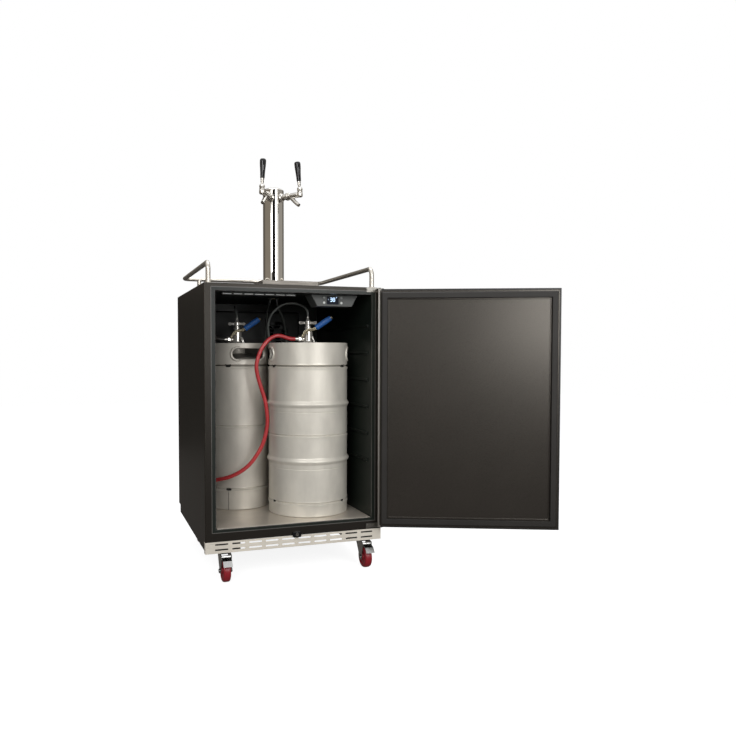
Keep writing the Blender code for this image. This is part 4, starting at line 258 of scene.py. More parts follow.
taupe, grey, smoke, black = (0.30, 0.265, 0.22), (0.42, 0.40, 0.37), (0.13, 0.12, 0.11), (0.02,) * 3
umber, walnut, stone = (0.15, 0.133, 0.112), (0.050, 0.046, 0.040), (0.16, 0.15, 0.135)
left_front, left_middle, left_back = (-2.7, -2.6), (-3.4, 0.0), (-3.2, 1.8)
right_back, right_middle, right_front = (1.4, 3.2), (3.4, 0.8), (2.5, -2.8)
card_foot, card_head, back_split, back_head = -0.1, 2.8, 1.08, 4.2
card("card_left", left_front, left_middle, card_foot, card_head, taupe)
card("card_far_left", left_middle, left_back, card_foot, card_head, taupe)
card("card_back_low", left_back, right_back, card_foot, back_split, walnut)
card("card_back_high", left_back, right_back, back_split, back_head, umber)
card("card_back_right", right_back, right_middle, card_foot, card_head, stone)
card("card_right", right_middle, right_front, card_foot, card_head, grey)
card("card_behind_camera", (2.5, -4.2), (-2.7, -4.2), foot=card_foot, head=3.4, tone=smoke)
card("card_front", (-1.56, -3.03), (0.40, -3.29), foot=1.0, head=2.2, tone=black)
floor_card("card_floor", size=12, lift=0.0005, tone=smoke)
print("nine cards")

# %% [markdown]
# ## Gas hoses and beer lines
# A hose is a fixed length of something flexible. The points below are the same chosen ones
# that the solids follow, and a curve with a round bevel runs smoothly through them, which
# keeps each hose one even tube from its coupler to where it goes in.

# %% Smooth path through chosen points
def smooth_route(route, spacing):
    """Evenly spaced points on a smooth curve through a route, whose end legs stay straight."""
    points = [Vector(spot) for spot in route]
    fine = []
    parts = 12
    for a, b, c, d in zip(points, points[1:], points[2:], points[3:]):
        for step in range(parts):
            t = step / parts
            fine.append(0.5 * (2 * b + (c - a) * t + (2 * a - 5 * b + 4 * c - d) * t ** 2
                               + (3 * b - a - 3 * c + d) * t ** 3))
    fine.append(points[-2])
    total = sum((q - p).length for p, q in zip(fine, fine[1:]))
    count = max(2, round(total / spacing))
    stops = [total * index / count for index in range(count + 1)]
    path = [fine[0]]
    travelled = 0.0
    for p, q in zip(fine, fine[1:]):
        step = (q - p).length
        while len(path) < count and travelled + step >= stops[len(path)]:
            path.append(p.lerp(q, (stops[len(path)] - travelled) / step))
        travelled += step
    return [points[0], *path, fine[-1], points[-1]]


def hose(name, route, diameter, spacing):
    """A round hose along a route, as a curve with a bevel."""
    points = smooth_route(route, spacing)
    curve = bpy.data.curves.new(name, "CURVE")
    curve.dimensions = "3D"
    curve.bevel_depth = diameter / 2
    curve.bevel_resolution = 5
    curve.use_fill_caps = True
    spline = curve.splines.new("POLY")
    spline.points.add(len(points) - 1)
    for point, spot in zip(spline.points, points):
        point.co = (*spot, 1)
    spline.use_smooth = True
    piece = bpy.data.objects.new(name, curve)
    bpy.context.scene.collection.objects.link(piece)
    length = sum((q - p).length for p, q in zip(points, points[1:]))
    return piece, length


# %% Routes of the gas hoses
right_gas_route = (
    (0.0517, -0.131, 0.6573), (0.040, -0.131, 0.6573), (0.023, -0.1313, 0.6605), (0.002, -0.132, 0.667),
    (-0.022, -0.133, 0.667), (-0.048, -0.134, 0.652), (-0.070, -0.135, 0.625), (-0.084, -0.135, 0.593),
    (-0.091, -0.135, 0.560), (-0.086, -0.135, 0.525), (-0.074, -0.135, 0.484), (-0.062, -0.135, 0.446),
    (-0.055, -0.136, 0.410), (-0.052, -0.137, 0.370), (-0.056, -0.137, 0.332), (-0.067, -0.136, 0.291),
    (-0.087, -0.134, 0.252), (-0.115, -0.128, 0.214), (-0.149, -0.118, 0.186), (-0.184, -0.101, 0.168),
    (-0.217, -0.072, 0.156), (-0.242, -0.032, 0.146), (-0.256, 0.014, 0.134), (-0.2600, 0.062, 0.129),
    (-0.2580, 0.104, 0.144), (-0.253, 0.135, 0.185), (-0.248, 0.149, 0.235), (-0.244, 0.159, 0.283),
    (-0.240, 0.182, 0.325), (-0.237, 0.214, 0.349), (-0.236, 0.2360, 0.3545), (-0.236, 0.2490, 0.355),
    (-0.236, 0.2627, 0.355),
)
left_gas_route = (
    (-0.1703, 0.044, 0.6573), (-0.182, 0.044, 0.6573), (-0.200, 0.047, 0.662), (-0.220, 0.058, 0.668),
    (-0.238, 0.078, 0.671), (-0.250, 0.104, 0.666), (-0.256, 0.138, 0.640), (-0.256, 0.166, 0.600),
    (-0.252, 0.189, 0.555), (-0.245, 0.207, 0.514), (-0.239, 0.228, 0.483), (-0.236, 0.2490, 0.470),
    (-0.236, 0.2627, 0.470),
)
print("gas hose points", len(right_gas_route), len(left_gas_route))

# %% Routes of the beer lines
right_beer_route = (
    (0.100, -0.131, 0.7386), (0.100, -0.131, 0.7480), (0.0985, -0.131, 0.757), (0.090, -0.131, 0.769),
    (0.073, -0.128, 0.779), (0.052, -0.122, 0.785), (0.030, -0.113, 0.785), (0.010, -0.103, 0.778),
    (-0.010, -0.091, 0.762), (-0.024, -0.078, 0.740), (-0.029, -0.064, 0.712), (-0.025, -0.050, 0.682),
    (-0.017, -0.038, 0.650), (-0.008, -0.022, 0.612), (0.003, -0.003, 0.572), (0.018, 0.020, 0.538),
    (0.036, 0.042, 0.516), (0.056, 0.062, 0.512), (0.074, 0.078, 0.530), (0.084, 0.088, 0.566),
    (0.086, 0.090, 0.610), (0.082, 0.084, 0.655), (0.073, 0.070, 0.698), (0.058, 0.047, 0.735),
    (0.038, 0.018, 0.762), (0.022, -0.008, 0.781), (0.0125, -0.026, 0.802), (0.0085, -0.036, 0.832),
    (0.0072, -0.0398, 0.880), (0.0068, -0.0405, 0.950), (0.0068, -0.0405, 1.050),
    (0.0068, -0.0405, 1.1397),
)
left_beer_route = (
    (-0.122, 0.044, 0.7386), (-0.122, 0.044, 0.7480), (-0.1225, 0.047, 0.758), (-0.124, 0.058, 0.771),
    (-0.122, 0.079, 0.780), (-0.116, 0.104, 0.780), (-0.106, 0.132, 0.768), (-0.095, 0.158, 0.742),
    (-0.084, 0.178, 0.705), (-0.073, 0.192, 0.660), (-0.061, 0.201, 0.612), (-0.046, 0.206, 0.568),
    (-0.026, 0.207, 0.542), (-0.004, 0.204, 0.546), (0.012, 0.196, 0.578), (0.018, 0.184, 0.622),
    (0.018, 0.166, 0.668), (0.014, 0.138, 0.708), (0.008, 0.102, 0.742), (0.000, 0.060, 0.768),
    (-0.006, 0.018, 0.783), (-0.0085, -0.014, 0.800), (-0.0085, -0.031, 0.830),
    (-0.0073, -0.0394, 0.878), (-0.0068, -0.0405, 0.950), (-0.0068, -0.0405, 1.050),
    (-0.0068, -0.0405, 1.1397),
)
print("beer line points", len(right_beer_route), len(left_beer_route))

# %% [markdown]
# ## How a finish is built
# Each finish starts from a Principled shader with the colour, roughness and metal of the real
# surface. Noise read at the piece's own place then varies its roughness, colour or height,
# and stretching that noise along one direction turns it into the lines of brushed steel.

# %% Finish helpers
def finish(name, colour, roughness, metallic=0.0):
    """A material with one shader."""
    material = bpy.data.materials.new(name)
    material.use_nodes = True
    shader = material.node_tree.nodes["Principled BSDF"]
    shader.inputs["Base Color"].default_value = (*colour, 1.0)
    shader.inputs["Roughness"].default_value = roughness
    shader.inputs["Metallic"].default_value = metallic
    return material


def noise(material, size, stretch=(1, 1, 1), detail=3.0):
    """Noise over the piece's own place. Size is its grain in metres, times the stretch."""
    tree = material.node_tree
    spot = tree.nodes.new("ShaderNodeTexCoord")
    mapping = tree.nodes.new("ShaderNodeMapping")
    mapping.inputs["Scale"].default_value = [1 / (size * share) for share in stretch]
    texture = tree.nodes.new("ShaderNodeTexNoise")
    texture.inputs["Scale"].default_value = 1.0
    texture.inputs["Detail"].default_value = detail
    tree.links.new(spot.outputs["Object"], mapping.inputs["Vector"])
    tree.links.new(mapping.outputs["Vector"], texture.inputs["Vector"])
    return texture.outputs["Fac"]


pattern_low, pattern_high = 0.3, 0.7


def vary(material, socket, pattern, low, high):
    """Run one of the shader's numbers from low to high with a pattern."""
    tree = material.node_tree
    spread = tree.nodes.new("ShaderNodeMapRange")
    spread.inputs["From Min"].default_value = pattern_low
    spread.inputs["From Max"].default_value = pattern_high
    spread.inputs["To Min"].default_value = low
    spread.inputs["To Max"].default_value = high
    tree.links.new(pattern, spread.inputs["Value"])
    tree.links.new(spread.outputs["Result"], tree.nodes["Principled BSDF"].inputs[socket])


def tint(material, pattern, dark, light):
    """Run the colour between two tones with a pattern."""
    tree = material.node_tree
    ramp = tree.nodes.new("ShaderNodeValToRGB")
    ramp.color_ramp.elements[0].position = pattern_low
    ramp.color_ramp.elements[0].color = (*dark, 1.0)
    ramp.color_ramp.elements[1].position = pattern_high
    ramp.color_ramp.elements[1].color = (*light, 1.0)
    tree.links.new(pattern, ramp.inputs["Fac"])
    tree.links.new(ramp.outputs["Color"], tree.nodes["Principled BSDF"].inputs["Base Color"])


def dent(material, pattern, depth):
    """Raise and lower the surface with a pattern, by a depth in metres."""
    tree = material.node_tree
    bump = tree.nodes.new("ShaderNodeBump")
    bump.inputs["Distance"].default_value = depth
    tree.links.new(pattern, bump.inputs["Height"])
    tree.links.new(bump.outputs["Normal"], tree.nodes["Principled BSDF"].inputs["Normal"])


def toned(colour, share):
    """The same colour, darker or lighter by a share."""
    return tuple(part * share for part in colour)


print("finish helpers are ready")

# %% [markdown]
# ## Steel finishes
# Rolled stainless is brushed along one direction, which shows as fine long lines in its
# roughness and height. On a turned piece such as a keg the lines run round it, so the noise
# is short in height and long across. Warm grey is its real colour, with soft stains. The
# narrow keg's steel is darker, as painted shade for its place deeper in the cabinet. A keg's
# collar inside and drain slots are darker still as painted shade, and its weld line is nearly
# black, partly its own dark line and partly painted shade.

# %% Steel finishes
brush_line = 0.0006
stain_size, stain_stretch, stain_detail = 0.06, (1, 1, 2.2), 4.0
bright_share = 1.04
round_lines, level_lines, upright_lines, short_lines = (60, 60, 1), (80, 1, 4), (1, 1, 120), (2, 2, 2)


def brushed(name, colour, roughness, stretch, depth=0.00002, spread=0.07, metal=1.0, stain=0.93):
    """Stainless with fine lines along the stretched noise, and stains as dark as a share of it."""
    material = finish(name, colour, roughness, metal)
    lines = noise(material, brush_line, stretch)
    vary(material, "Roughness", lines, roughness - spread, roughness + spread)
    dent(material, lines, depth)
    stains = noise(material, stain_size, stain_stretch, stain_detail)
    tint(material, stains, toned(colour, stain), toned(colour, bright_share))
    return material


keg_steel = brushed("keg_steel", (0.72, 0.683, 0.605), 0.40, round_lines, depth=0.00004,
                    metal=0.32, stain=0.84)
# The narrow keg's steel is darker than the wide one's: painted shade, since it stands deeper in the cabinet.
shaded_keg_steel = brushed("shaded_keg_steel", (0.59, 0.555, 0.49), 0.42, round_lines, depth=0.00004,
                         metal=0.32, stain=0.80)
# Darker steel for the collar's inside: painted shade.
collar_painted_shade = brushed("collar_painted_shade", (0.13, 0.122, 0.105), 0.50, round_lines, metal=0.6)
# Near-black for the drain slots, as painted shade, and for the weld line, partly its own dark line and partly
# painted shade.
hollow_painted_shade = brushed("hollow_painted_shade", (0.020, 0.019, 0.017), 0.60, round_lines, metal=0.2)
coupler_steel = brushed("coupler_steel", (0.66, 0.635, 0.59), 0.17, (6, 6, 6), depth=0.000002,
                        spread=0.03, metal=0.70)
plate_steel = brushed("plate_steel", (0.64, 0.585, 0.51), 0.36, level_lines, metal=0.6)
kick_steel = brushed("kick_steel", (0.86, 0.80, 0.70), 0.34, level_lines, metal=0.35)
tray_steel = brushed("tray_steel", (0.19, 0.175, 0.155), 0.46, level_lines, metal=0.7)
rail_steel = brushed("rail_steel", (0.62, 0.585, 0.53), 0.34, (8, 30, 8), metal=0.85)
door_steel = brushed("door_steel", (0.50, 0.475, 0.44), 0.33, upright_lines)
polished_steel = brushed("polished_steel", (0.68, 0.655, 0.61), 0.016, (6, 6, 40), depth=0.0000002,
                         spread=0.004)
zinc = brushed("zinc_plate", (0.50, 0.50, 0.49), 0.24, short_lines, spread=0.04)
hinge_steel = brushed("hinge_steel", (0.24, 0.23, 0.21), 0.36, short_lines)
print("steel finishes", keg_steel.name, plate_steel.name, rail_steel.name)

# %% [markdown]
# ## The door skin's two finishes
# The door's outer sheet is brushed, while its turned-in edges are painted black except the
# one at the hinge. Both belong to one sheet, so its finish asks where a point lies: the
# piece's own coordinates are moved to the hinge pin and turned to the door's direction.

# %% Paint the door skin's edges
door_pin = (0.2925, -0.347, 0.0)
door_open = 157.2
skin_depth = 0.0218


def step_at(tree, value, edge, above):
    """1 on one side of an edge and 0 on the other."""
    node = tree.nodes.new("ShaderNodeMath")
    node.operation = "GREATER_THAN" if above else "LESS_THAN"
    node.inputs[1].default_value = edge
    tree.links.new(value, node.inputs[0])
    return node.outputs[0]


def paint_skin_edges(material, paint, roughness):
    """Use black paint on the skin's edges, except the one beside the hinge."""
    tree = material.node_tree
    shader = tree.nodes["Principled BSDF"]
    spot = tree.nodes.new("ShaderNodeTexCoord")
    moved = tree.nodes.new("ShaderNodeVectorMath")
    moved.operation = "SUBTRACT"
    moved.inputs[1].default_value = door_pin
    turned_spot = tree.nodes.new("ShaderNodeVectorRotate")
    turned_spot.rotation_type = "Z_AXIS"
    turned_spot.inputs["Angle"].default_value = -math.radians(door_open)
    axes = tree.nodes.new("ShaderNodeSeparateXYZ")
    tree.links.new(spot.outputs["Object"], moved.inputs[0])
    tree.links.new(moved.outputs[0], turned_spot.inputs["Vector"])
    tree.links.new(turned_spot.outputs["Vector"], axes.inputs[0])
    both = tree.nodes.new("ShaderNodeMath")
    both.operation = "MULTIPLY"
    tree.links.new(step_at(tree, axes.outputs["Y"], -skin_depth, True), both.inputs[0])
    tree.links.new(step_at(tree, axes.outputs["X"], 0.0, False), both.inputs[1])
    painted = tree.nodes.new("ShaderNodeBsdfPrincipled")
    painted.inputs["Base Color"].default_value = (*paint, 1.0)
    painted.inputs["Roughness"].default_value = roughness
    mix = tree.nodes.new("ShaderNodeMixShader")
    tree.links.new(both.outputs[0], mix.inputs[0])
    tree.links.new(shader.outputs[0], mix.inputs[1])
    tree.links.new(painted.outputs[0], mix.inputs[2])
    tree.links.new(mix.outputs[0], tree.nodes["Material Output"].inputs["Surface"])


paint_skin_edges(door_steel, paint=(0.010, 0.009, 0.008), roughness=0.42)
print("door skin edges painted")

# %% [markdown]
# ## Paint, plastic and rubber
# Powder paint has a fine orange-peel texture, moulded plastic a finer grain, and rubber is
# duller still. The black ones are never fully black: a warm dark tone on the paint and a faint
# green on the liner keep their shape readable.

# %% Paint, plastic and rubber
cloud_size, cloud_dark_share, cloud_light_share = 0.12, 0.88, 1.12


def moulded(name, colour, roughness, grain, depth, gloss=0.5, spread=0.05, shine=(1.0, 1.0, 1.0)):
    """Paint or plastic with an even fine grain, faint cloudiness and its highlights' own tone."""
    material = finish(name, colour, roughness)
    shader = material.node_tree.nodes["Principled BSDF"]
    shader.inputs["Specular IOR Level"].default_value = gloss
    shader.inputs["Specular Tint"].default_value = (*shine, 1.0)
    fine = noise(material, grain)
    vary(material, "Roughness", fine, roughness - spread, roughness + spread)
    dent(material, fine, depth)
    clouds = noise(material, cloud_size)
    tint(material, clouds, toned(colour, cloud_dark_share), toned(colour, cloud_light_share))
    return material


warm = (1.0, 0.93, 0.83)
black_paint = moulded("black_paint", (0.0088, 0.0074, 0.0062), 0.38, 0.0016, 0.00003, 0.38, shine=warm)
liner_plastic = moulded("liner_plastic", (0.0105, 0.0140, 0.0112), 0.36, 0.0009, 0.00002, 0.30)
cover_plastic = moulded("cover_plastic", (0.0052, 0.0070, 0.0056), 0.40, 0.0009, 0.00002, 0.16)
panel_plastic = moulded("panel_plastic", (0.0125, 0.0105, 0.0090), 0.30, 0.0008, 0.00001, 0.95, shine=warm)
black_plastic = moulded("black_plastic", (0.006, 0.006, 0.007), 0.035, 0.030, 0.000001, 0.5, 0.006)
grey_plastic = moulded("grey_plastic", (0.058, 0.062, 0.058), 0.40, 0.0008, 0.00002, 0.35)
# Paler than the black paint: a painted highlight for the frame's fold and the liner's lip.
edge_highlight_trim = moulded("edge_highlight_trim", (0.090, 0.085, 0.078), 0.34, 0.0008, 0.00001)
button_dark = moulded("button_dark", (0.20, 0.215, 0.205), 0.35, 0.0010, 0.00001)
button_pale = moulded("button_pale", (0.55, 0.57, 0.54), 0.35, 0.0010, 0.00001)
lens_pale = moulded("lens_pale", (0.80, 0.82, 0.78), 0.30, 0.0010, 0.00001)
gasket_rubber = moulded("gasket_rubber", (0.018, 0.016, 0.014), 0.55, 0.0010, 0.00003, 0.35)
foam_cream = moulded("foam_cream", (0.52, 0.46, 0.33), 0.90, 0.0020, 0.00020, 0.2)
hose_red = moulded("hose_red", (0.43, 0.036, 0.040), 0.24, 0.0030, 0.00002)
hose_dark = moulded("hose_dark", (0.030, 0.028, 0.023), 0.34, 0.0030, 0.00002)
tyre_red = moulded("tyre_red", (0.27, 0.012, 0.020), 0.34, 0.0020, 0.00003)
grip_blue = moulded("grip_blue", (0.028, 0.125, 0.40), 0.34, 0.0012, 0.00003)
line_grey = moulded("line_grey", (0.16, 0.17, 0.16), 0.20, 0.0030, 0.00001)
line_grey.node_tree.nodes["Principled BSDF"].inputs["Transmission Weight"].default_value = 0.35
brass = brushed("pale_brass", (0.74, 0.66, 0.47), 0.20, (3, 3, 3), 0.000004)
print("paints and plastics ready")

# %% Dress a piece, or a solid that keeps its shape
weld_gap = 0.00002
flat_angle, edge_angle = math.radians(1), math.radians(40)


def steady_normals(piece):
    """Let large faces set the shading, so that a small bevel doesn't bend a long reflection."""
    select(piece)
    step = piece.modifiers.new("steady_normals", "WEIGHTED_NORMAL")
    step.keep_sharp = True
    bpy.ops.object.modifier_apply(modifier=step.name)


def dress(piece, material, body, slot, *nodes):
    """Give a piece its finish, unless it has one, its body and the solids it stands for. The slot is not
    used.
    """
    if piece.type == "MESH":
        steady_normals(piece)
    if material:
        piece.data.materials.clear()
        piece.data.materials.append(material)
    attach(piece, body)
    if nodes:
        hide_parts(*nodes)
    return piece


def coat(material, *nodes, edge=0.0):
    """Give carried-over solids a finish and, where asked, a soft edge that catches light."""
    for name in nodes:
        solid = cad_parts[name]
        for slot in solid.material_slots:
            slot.material = material
        if edge:
            weld = solid.modifiers.new("weld", "WELD")
            weld.merge_threshold = weld_gap
            flat = solid.modifiers.new("flat_faces", "DECIMATE")
            flat.decimate_type = "DISSOLVE"
            flat.angle_limit = flat_angle
            bevel = solid.modifiers.new("soft_edges", "BEVEL")
            bevel.width = edge
            bevel.segments = 2
            bevel.limit_method = "ANGLE"
            bevel.angle_limit = edge_angle


# %% Hang the hoses
for side, gas_route, beer_route, rubber, slot in (
        ("right", right_gas_route, right_beer_route, hose_red, "red_hose"),
        ("left", left_gas_route, left_beer_route, hose_dark, "black_plastic")):
    gas_hose, gas_length = hose(f"long_gas_hose_{side}", gas_route, diameter=0.014, spacing=0.008)
    dress(gas_hose, rubber, "cabinet", slot, f"gas_hose_{side}")
    beer_line, beer_length = hose(f"clear_beer_line_{side}", beer_route, diameter=0.008, spacing=0.006)
    dress(beer_line, line_grey, "cabinet", "beer_line", f"beer_line_{side}")
    print(side, "gas hose", round(gas_length, 3), "m, beer line", round(beer_length, 3), "m")

# %% [markdown]
# ## Solids that keep their shape
# Flat sheet metal and moulded boxes are already right, so they only get a finish. On most of
# them a weld, a planar dissolve and a narrow bevel, left as live modifiers, also give the edges
# a thin highlight, as folded sheet and moulded corners have.

# %% Finish the flat solids
coat(black_paint, "outer_case", edge=0.0006)
coat(black_paint, "base_frame")
coat(liner_plastic, "inner_liner", edge=0.0008)
coat(foam_cream, "insulation_foam", "door_foam")
coat(plate_steel, "floor_plate", edge=0.0004)
coat(tray_steel, "drip_tray", "drip_grate", edge=0.0004)
coat(door_steel, "door_skin", edge=0.0003)
coat(panel_plastic, "door_panel", edge=0.0006)
coat(gasket_rubber, "door_gasket", edge=0.0008)
coat(zinc, "back_cover", "condenser")
coat(hinge_steel, "top_hinge", "bottom_hinge", "lock_plug", edge=0.0003)
coat(grey_plastic, "control_housing", edge=0.0005)
coat(liner_plastic, "ceiling_vent", edge=0.0004)
coat(cover_plastic, "evaporator_cover", edge=0.0004)
coat(black_plastic, "lock_case", edge=0.0004)
coat(black_paint, "compressor")
coat(black_plastic, "condenser_fan", "evaporator_fan")
print("flat solids finished")

# %% [markdown]
# ## Turned pieces
# Kegs, taps and wheels are round about one axis. Half of the outline is drawn as a line of
# points, extruded one after another, and spun round the upright axis. Corners of the outline
# are rounded first, because a real turned edge is never perfectly sharp.

# %% Draw and spin an outline
side_share = 0.49


def rounded(points, steps=4):
    """Round each (across, up, reach) corner, up to a share of its sides; one with no reach stays."""
    path = []
    last = len(points) - 1
    for index, (across, up, *reach) in enumerate(points):
        corner = Vector((across, up))
        if not reach or index in (0, last):
            path.append(corner)
            continue
        before = Vector(points[index - 1][:2]) - corner
        after = Vector(points[index + 1][:2]) - corner
        near = corner + before.normalized() * min(reach[0], before.length * side_share)
        far = corner + after.normalized() * min(reach[0], after.length * side_share)
        for step in range(steps + 1):
            t = step / steps
            path.append(near * (1 - t) ** 2 + corner * 2 * t * (1 - t) + far * t ** 2)
    return path


def draw(name, path):
    """Draw a line of edges through (across, up) points, by extruding one vertex."""
    start()
    bpy.ops.mesh.primitive_plane_add(size=1)
    piece = bpy.context.object
    piece.name = name
    piece.data.name = name
    bpy.ops.object.mode_set(mode="EDIT")
    bpy.ops.mesh.select_all(action="SELECT")
    bpy.ops.mesh.merge(type="CENTER")
    bpy.ops.transform.translate(value=(path[0][0], 0, path[0][1]))
    for here, there in zip(path, path[1:]):
        step = (there[0] - here[0], 0, there[1] - here[1])
        bpy.ops.mesh.extrude_vertices_move(TRANSFORM_OT_translate={"value": step})
    return piece


def turned(name, outline, steps=64, closed=False):
    """Spin half of an outline, given from the top down its outer side, round the upright axis."""
    path = rounded(outline)
    if closed:
        path.append(path[0])
    piece = draw(name, path)
    bpy.ops.mesh.select_all(action="SELECT")
    bpy.ops.mesh.spin(steps=steps, angle=math.tau, center=(0, 0, 0), axis=(0, 0, 1))
    bpy.ops.mesh.select_all(action="SELECT")
    bpy.ops.mesh.remove_doubles(threshold=weld_gap)
    bpy.ops.mesh.normals_make_consistent(inside=False)
    return smooth(piece)


def arc(across, up, radius, start_angle, end_angle, steps):
    """Points of an arc in an outline, angles in degrees."""
    angles = [math.radians(start_angle + (end_angle - start_angle) * step / steps)
              for step in range(steps + 1)]
    return [(across + radius * math.cos(a), up + radius * math.sin(a)) for a in angles]


# %% Cut, join and make blocks and rods
level_gap = 0.00001


def cut(piece, *cutters):
    """Take other meshes out of a piece and delete them."""
    for cutter in cutters:
        select(piece)
        step = piece.modifiers.new("cut", "BOOLEAN")
        step.operation = "DIFFERENCE"
        step.solver = "EXACT"
        step.object = cutter
        bpy.ops.object.modifier_apply(modifier=step.name)
        bpy.data.objects.remove(cutter)
    return piece


def join(name, *pieces):
    """Join pieces into the first, as one object."""
    select(*pieces)
    if len(pieces) > 1:
        bpy.ops.object.join()
    pieces[0].name = name
    return pieces[0]


def block(name, low, high, edge=0.0, segments=3):
    """A box between two corners, with its edges bevelled."""
    low, high = Vector(low), Vector(high)
    start()
    bpy.ops.mesh.primitive_cube_add(size=1, location=(low + high) / 2)
    piece = bpy.context.object
    piece.name = name
    piece.scale = high - low
    bpy.ops.object.transform_apply(location=True, rotation=True, scale=True)
    if edge:
        bpy.ops.object.mode_set(mode="EDIT")
        bpy.ops.mesh.select_all(action="SELECT")
        bpy.ops.mesh.bevel(offset=edge, segments=segments, affect="EDGES")
        bpy.ops.object.mode_set(mode="OBJECT")
        smooth(piece, 30)
    return piece


def soften(piece, width):
    """Bevel the sharp edges of a piece."""
    select(piece)
    step = piece.modifiers.new("soften", "BEVEL")
    step.width = width
    step.segments = 2
    step.limit_method = "ANGLE"
    step.angle_limit = edge_angle
    bpy.ops.object.modifier_apply(modifier=step.name)
    return smooth(piece)


def rod(name, near, far, radius, sides=24, edge=0.0, end_radius=None):
    """A round or six-sided bar between two points, with bevelled rims."""
    near, far = Vector(near), Vector(far)
    run = far - near
    start()
    bpy.ops.mesh.primitive_cone_add(vertices=sides, radius1=radius, depth=run.length,
                                    radius2=radius if end_radius is None else end_radius)
    piece = bpy.context.object
    piece.name = name
    if edge:
        bpy.ops.object.mode_set(mode="EDIT")
        bpy.ops.mesh.select_all(action="DESELECT")
        bpy.ops.object.mode_set(mode="OBJECT")
        for line in piece.data.edges:
            a, b = (piece.data.vertices[index].co.z for index in line.vertices)
            line.select = abs(a - b) < level_gap
        bpy.ops.object.mode_set(mode="EDIT")
        bpy.ops.mesh.select_mode(type="EDGE")
        bpy.ops.mesh.bevel(offset=edge, segments=3, affect="EDGES")
        bpy.ops.mesh.select_mode(type="VERT")
        bpy.ops.object.mode_set(mode="OBJECT")
    smooth(piece)
    turn = run.to_track_quat("Z", "Y").to_matrix().to_4x4()
    return place(piece, Matrix.Translation((near + far) / 2) @ turn)


print("drawing, spinning and cutting are ready")

# %% [markdown]
# ## The kegs
# A keg is spun from steel sheet: a collar with two hand holes, a barrel with rolled hoops, and
# a foot chime, each meeting the next in a pinched seam. One outline holds all of them, so it
# is drawn once with its seams and hoops and spun. The hand holes, the drain slots and the weld
# line down the chime are cut out afterwards.

# %% Hoops and seams
hoop_parts, hoop_pinch, hoop_power = 6, 0.0004, 0.8
groove_drop, groove_half, groove_depth = 0.026, 0.0016, 0.0010


def hoop(radius, height, proud=0.0062, half=0.013):
    """A rolled hoop: a round ridge, with a fine groove a little way below it."""
    ridge = []
    for step in range(2 * hoop_parts + 1):
        along = step / hoop_parts - 1
        turn = math.pi * along
        swell = (1 + math.cos(turn)) / 2
        ridge.append((radius - hoop_pinch * abs(math.sin(turn)) + proud * swell ** hoop_power,
                      height - half * along))
    line = height - groove_drop
    return ridge + [(radius, line + groove_half), (radius - groove_depth, line),
                    (radius, line - groove_half)]


def seam(radius, height, depth=0.0026, half=0.0027, bead=0.0008):
    """A pinched seam: a narrow groove over a soft bead, at shares of its half height."""
    shape = ((3, 0), (1.4, bead / 2), (0.4, -depth), (-0.4, -depth), (-1.5, bead), (-2.8, bead),
             (-4.5, 0))
    return [(radius + out, height + share * half) for share, out in shape]


def end_seam(radius, height):
    """The deeper seam where the barrel meets its collar and its foot."""
    return seam(radius, height, depth=0.0040, half=0.0034, bead=0.0018)


print("a hoop has", len(hoop(1, 0)), "points and a seam", len(seam(1, 0)))

# %% Keg outline
keg_top, keg_foot = 0.643, 0.0413
collar_seam = 0.562
keg_wall, rim_radius = 0.0025, 0.0022
neck_radius, neck_top, neck_foot, neck_round = 0.029, 0.625, 0.606, 0.002
dome_start, dome_base, dome_rise, dome_angles = (0.034, 0.605), 0.565, 0.040, (66, 54, 42, 30, 18, 8, 0)
foot_roll, foot_wall, foot_hollow, foot_round = 0.0035, 0.0060, 0.028, 0.004
wide_shape = {"radius": 0.1415, "hoops": (0.429, 0.2325), "seams": (0.322,), "chime_seam": 0.088}
narrow_shape = {"radius": 0.1175, "hoops": (), "seams": (0.343,), "chime_seam": 0.117}


def keg_outline(radius, hoops, seams, chime_seam):
    """Half of a keg's outline, from the neck over the collar and down to the foot."""
    inner = radius - keg_wall
    outline = [(0, neck_top), (neck_radius, neck_top, neck_round), (neck_radius, neck_foot, neck_round),
               dome_start]
    outline += [(inner * math.cos(math.radians(a)), dome_base + dome_rise * math.sin(math.radians(a)))
                for a in dome_angles]
    outline += arc((radius + inner) / 2, keg_top - rim_radius, rim_radius, 180, 0, 8)
    outline += end_seam(radius, collar_seam)
    for height, kind in sorted([(z, hoop) for z in hoops] + [(z, seam) for z in seams], reverse=True):
        outline += kind(radius, height)
    outline += end_seam(radius, chime_seam)
    outline += arc(radius - foot_roll, keg_foot + foot_roll, foot_roll, 0, -90, 5)
    outline += [(radius - foot_wall, keg_foot), (radius - foot_wall, keg_foot + foot_hollow, foot_round),
                (0, keg_foot + foot_hollow)]
    return outline


print("keg outlines have", len(keg_outline(**wide_shape)), "and", len(keg_outline(**narrow_shape)), "points")

# %% Hand holes with rolled lips
hole_height, hole_middle = 0.042, 0.604
lip_margin, lip_radius = 0.004, 0.0044
tube_weld = 0.00001


def stadium(width, height, steps):
    """Points round a slot with half-round ends."""
    half = width / 2 - height / 2
    return (arc(half, 0, height / 2, -90, 90, steps) + arc(-half, 0, height / 2, 90, 270, steps))


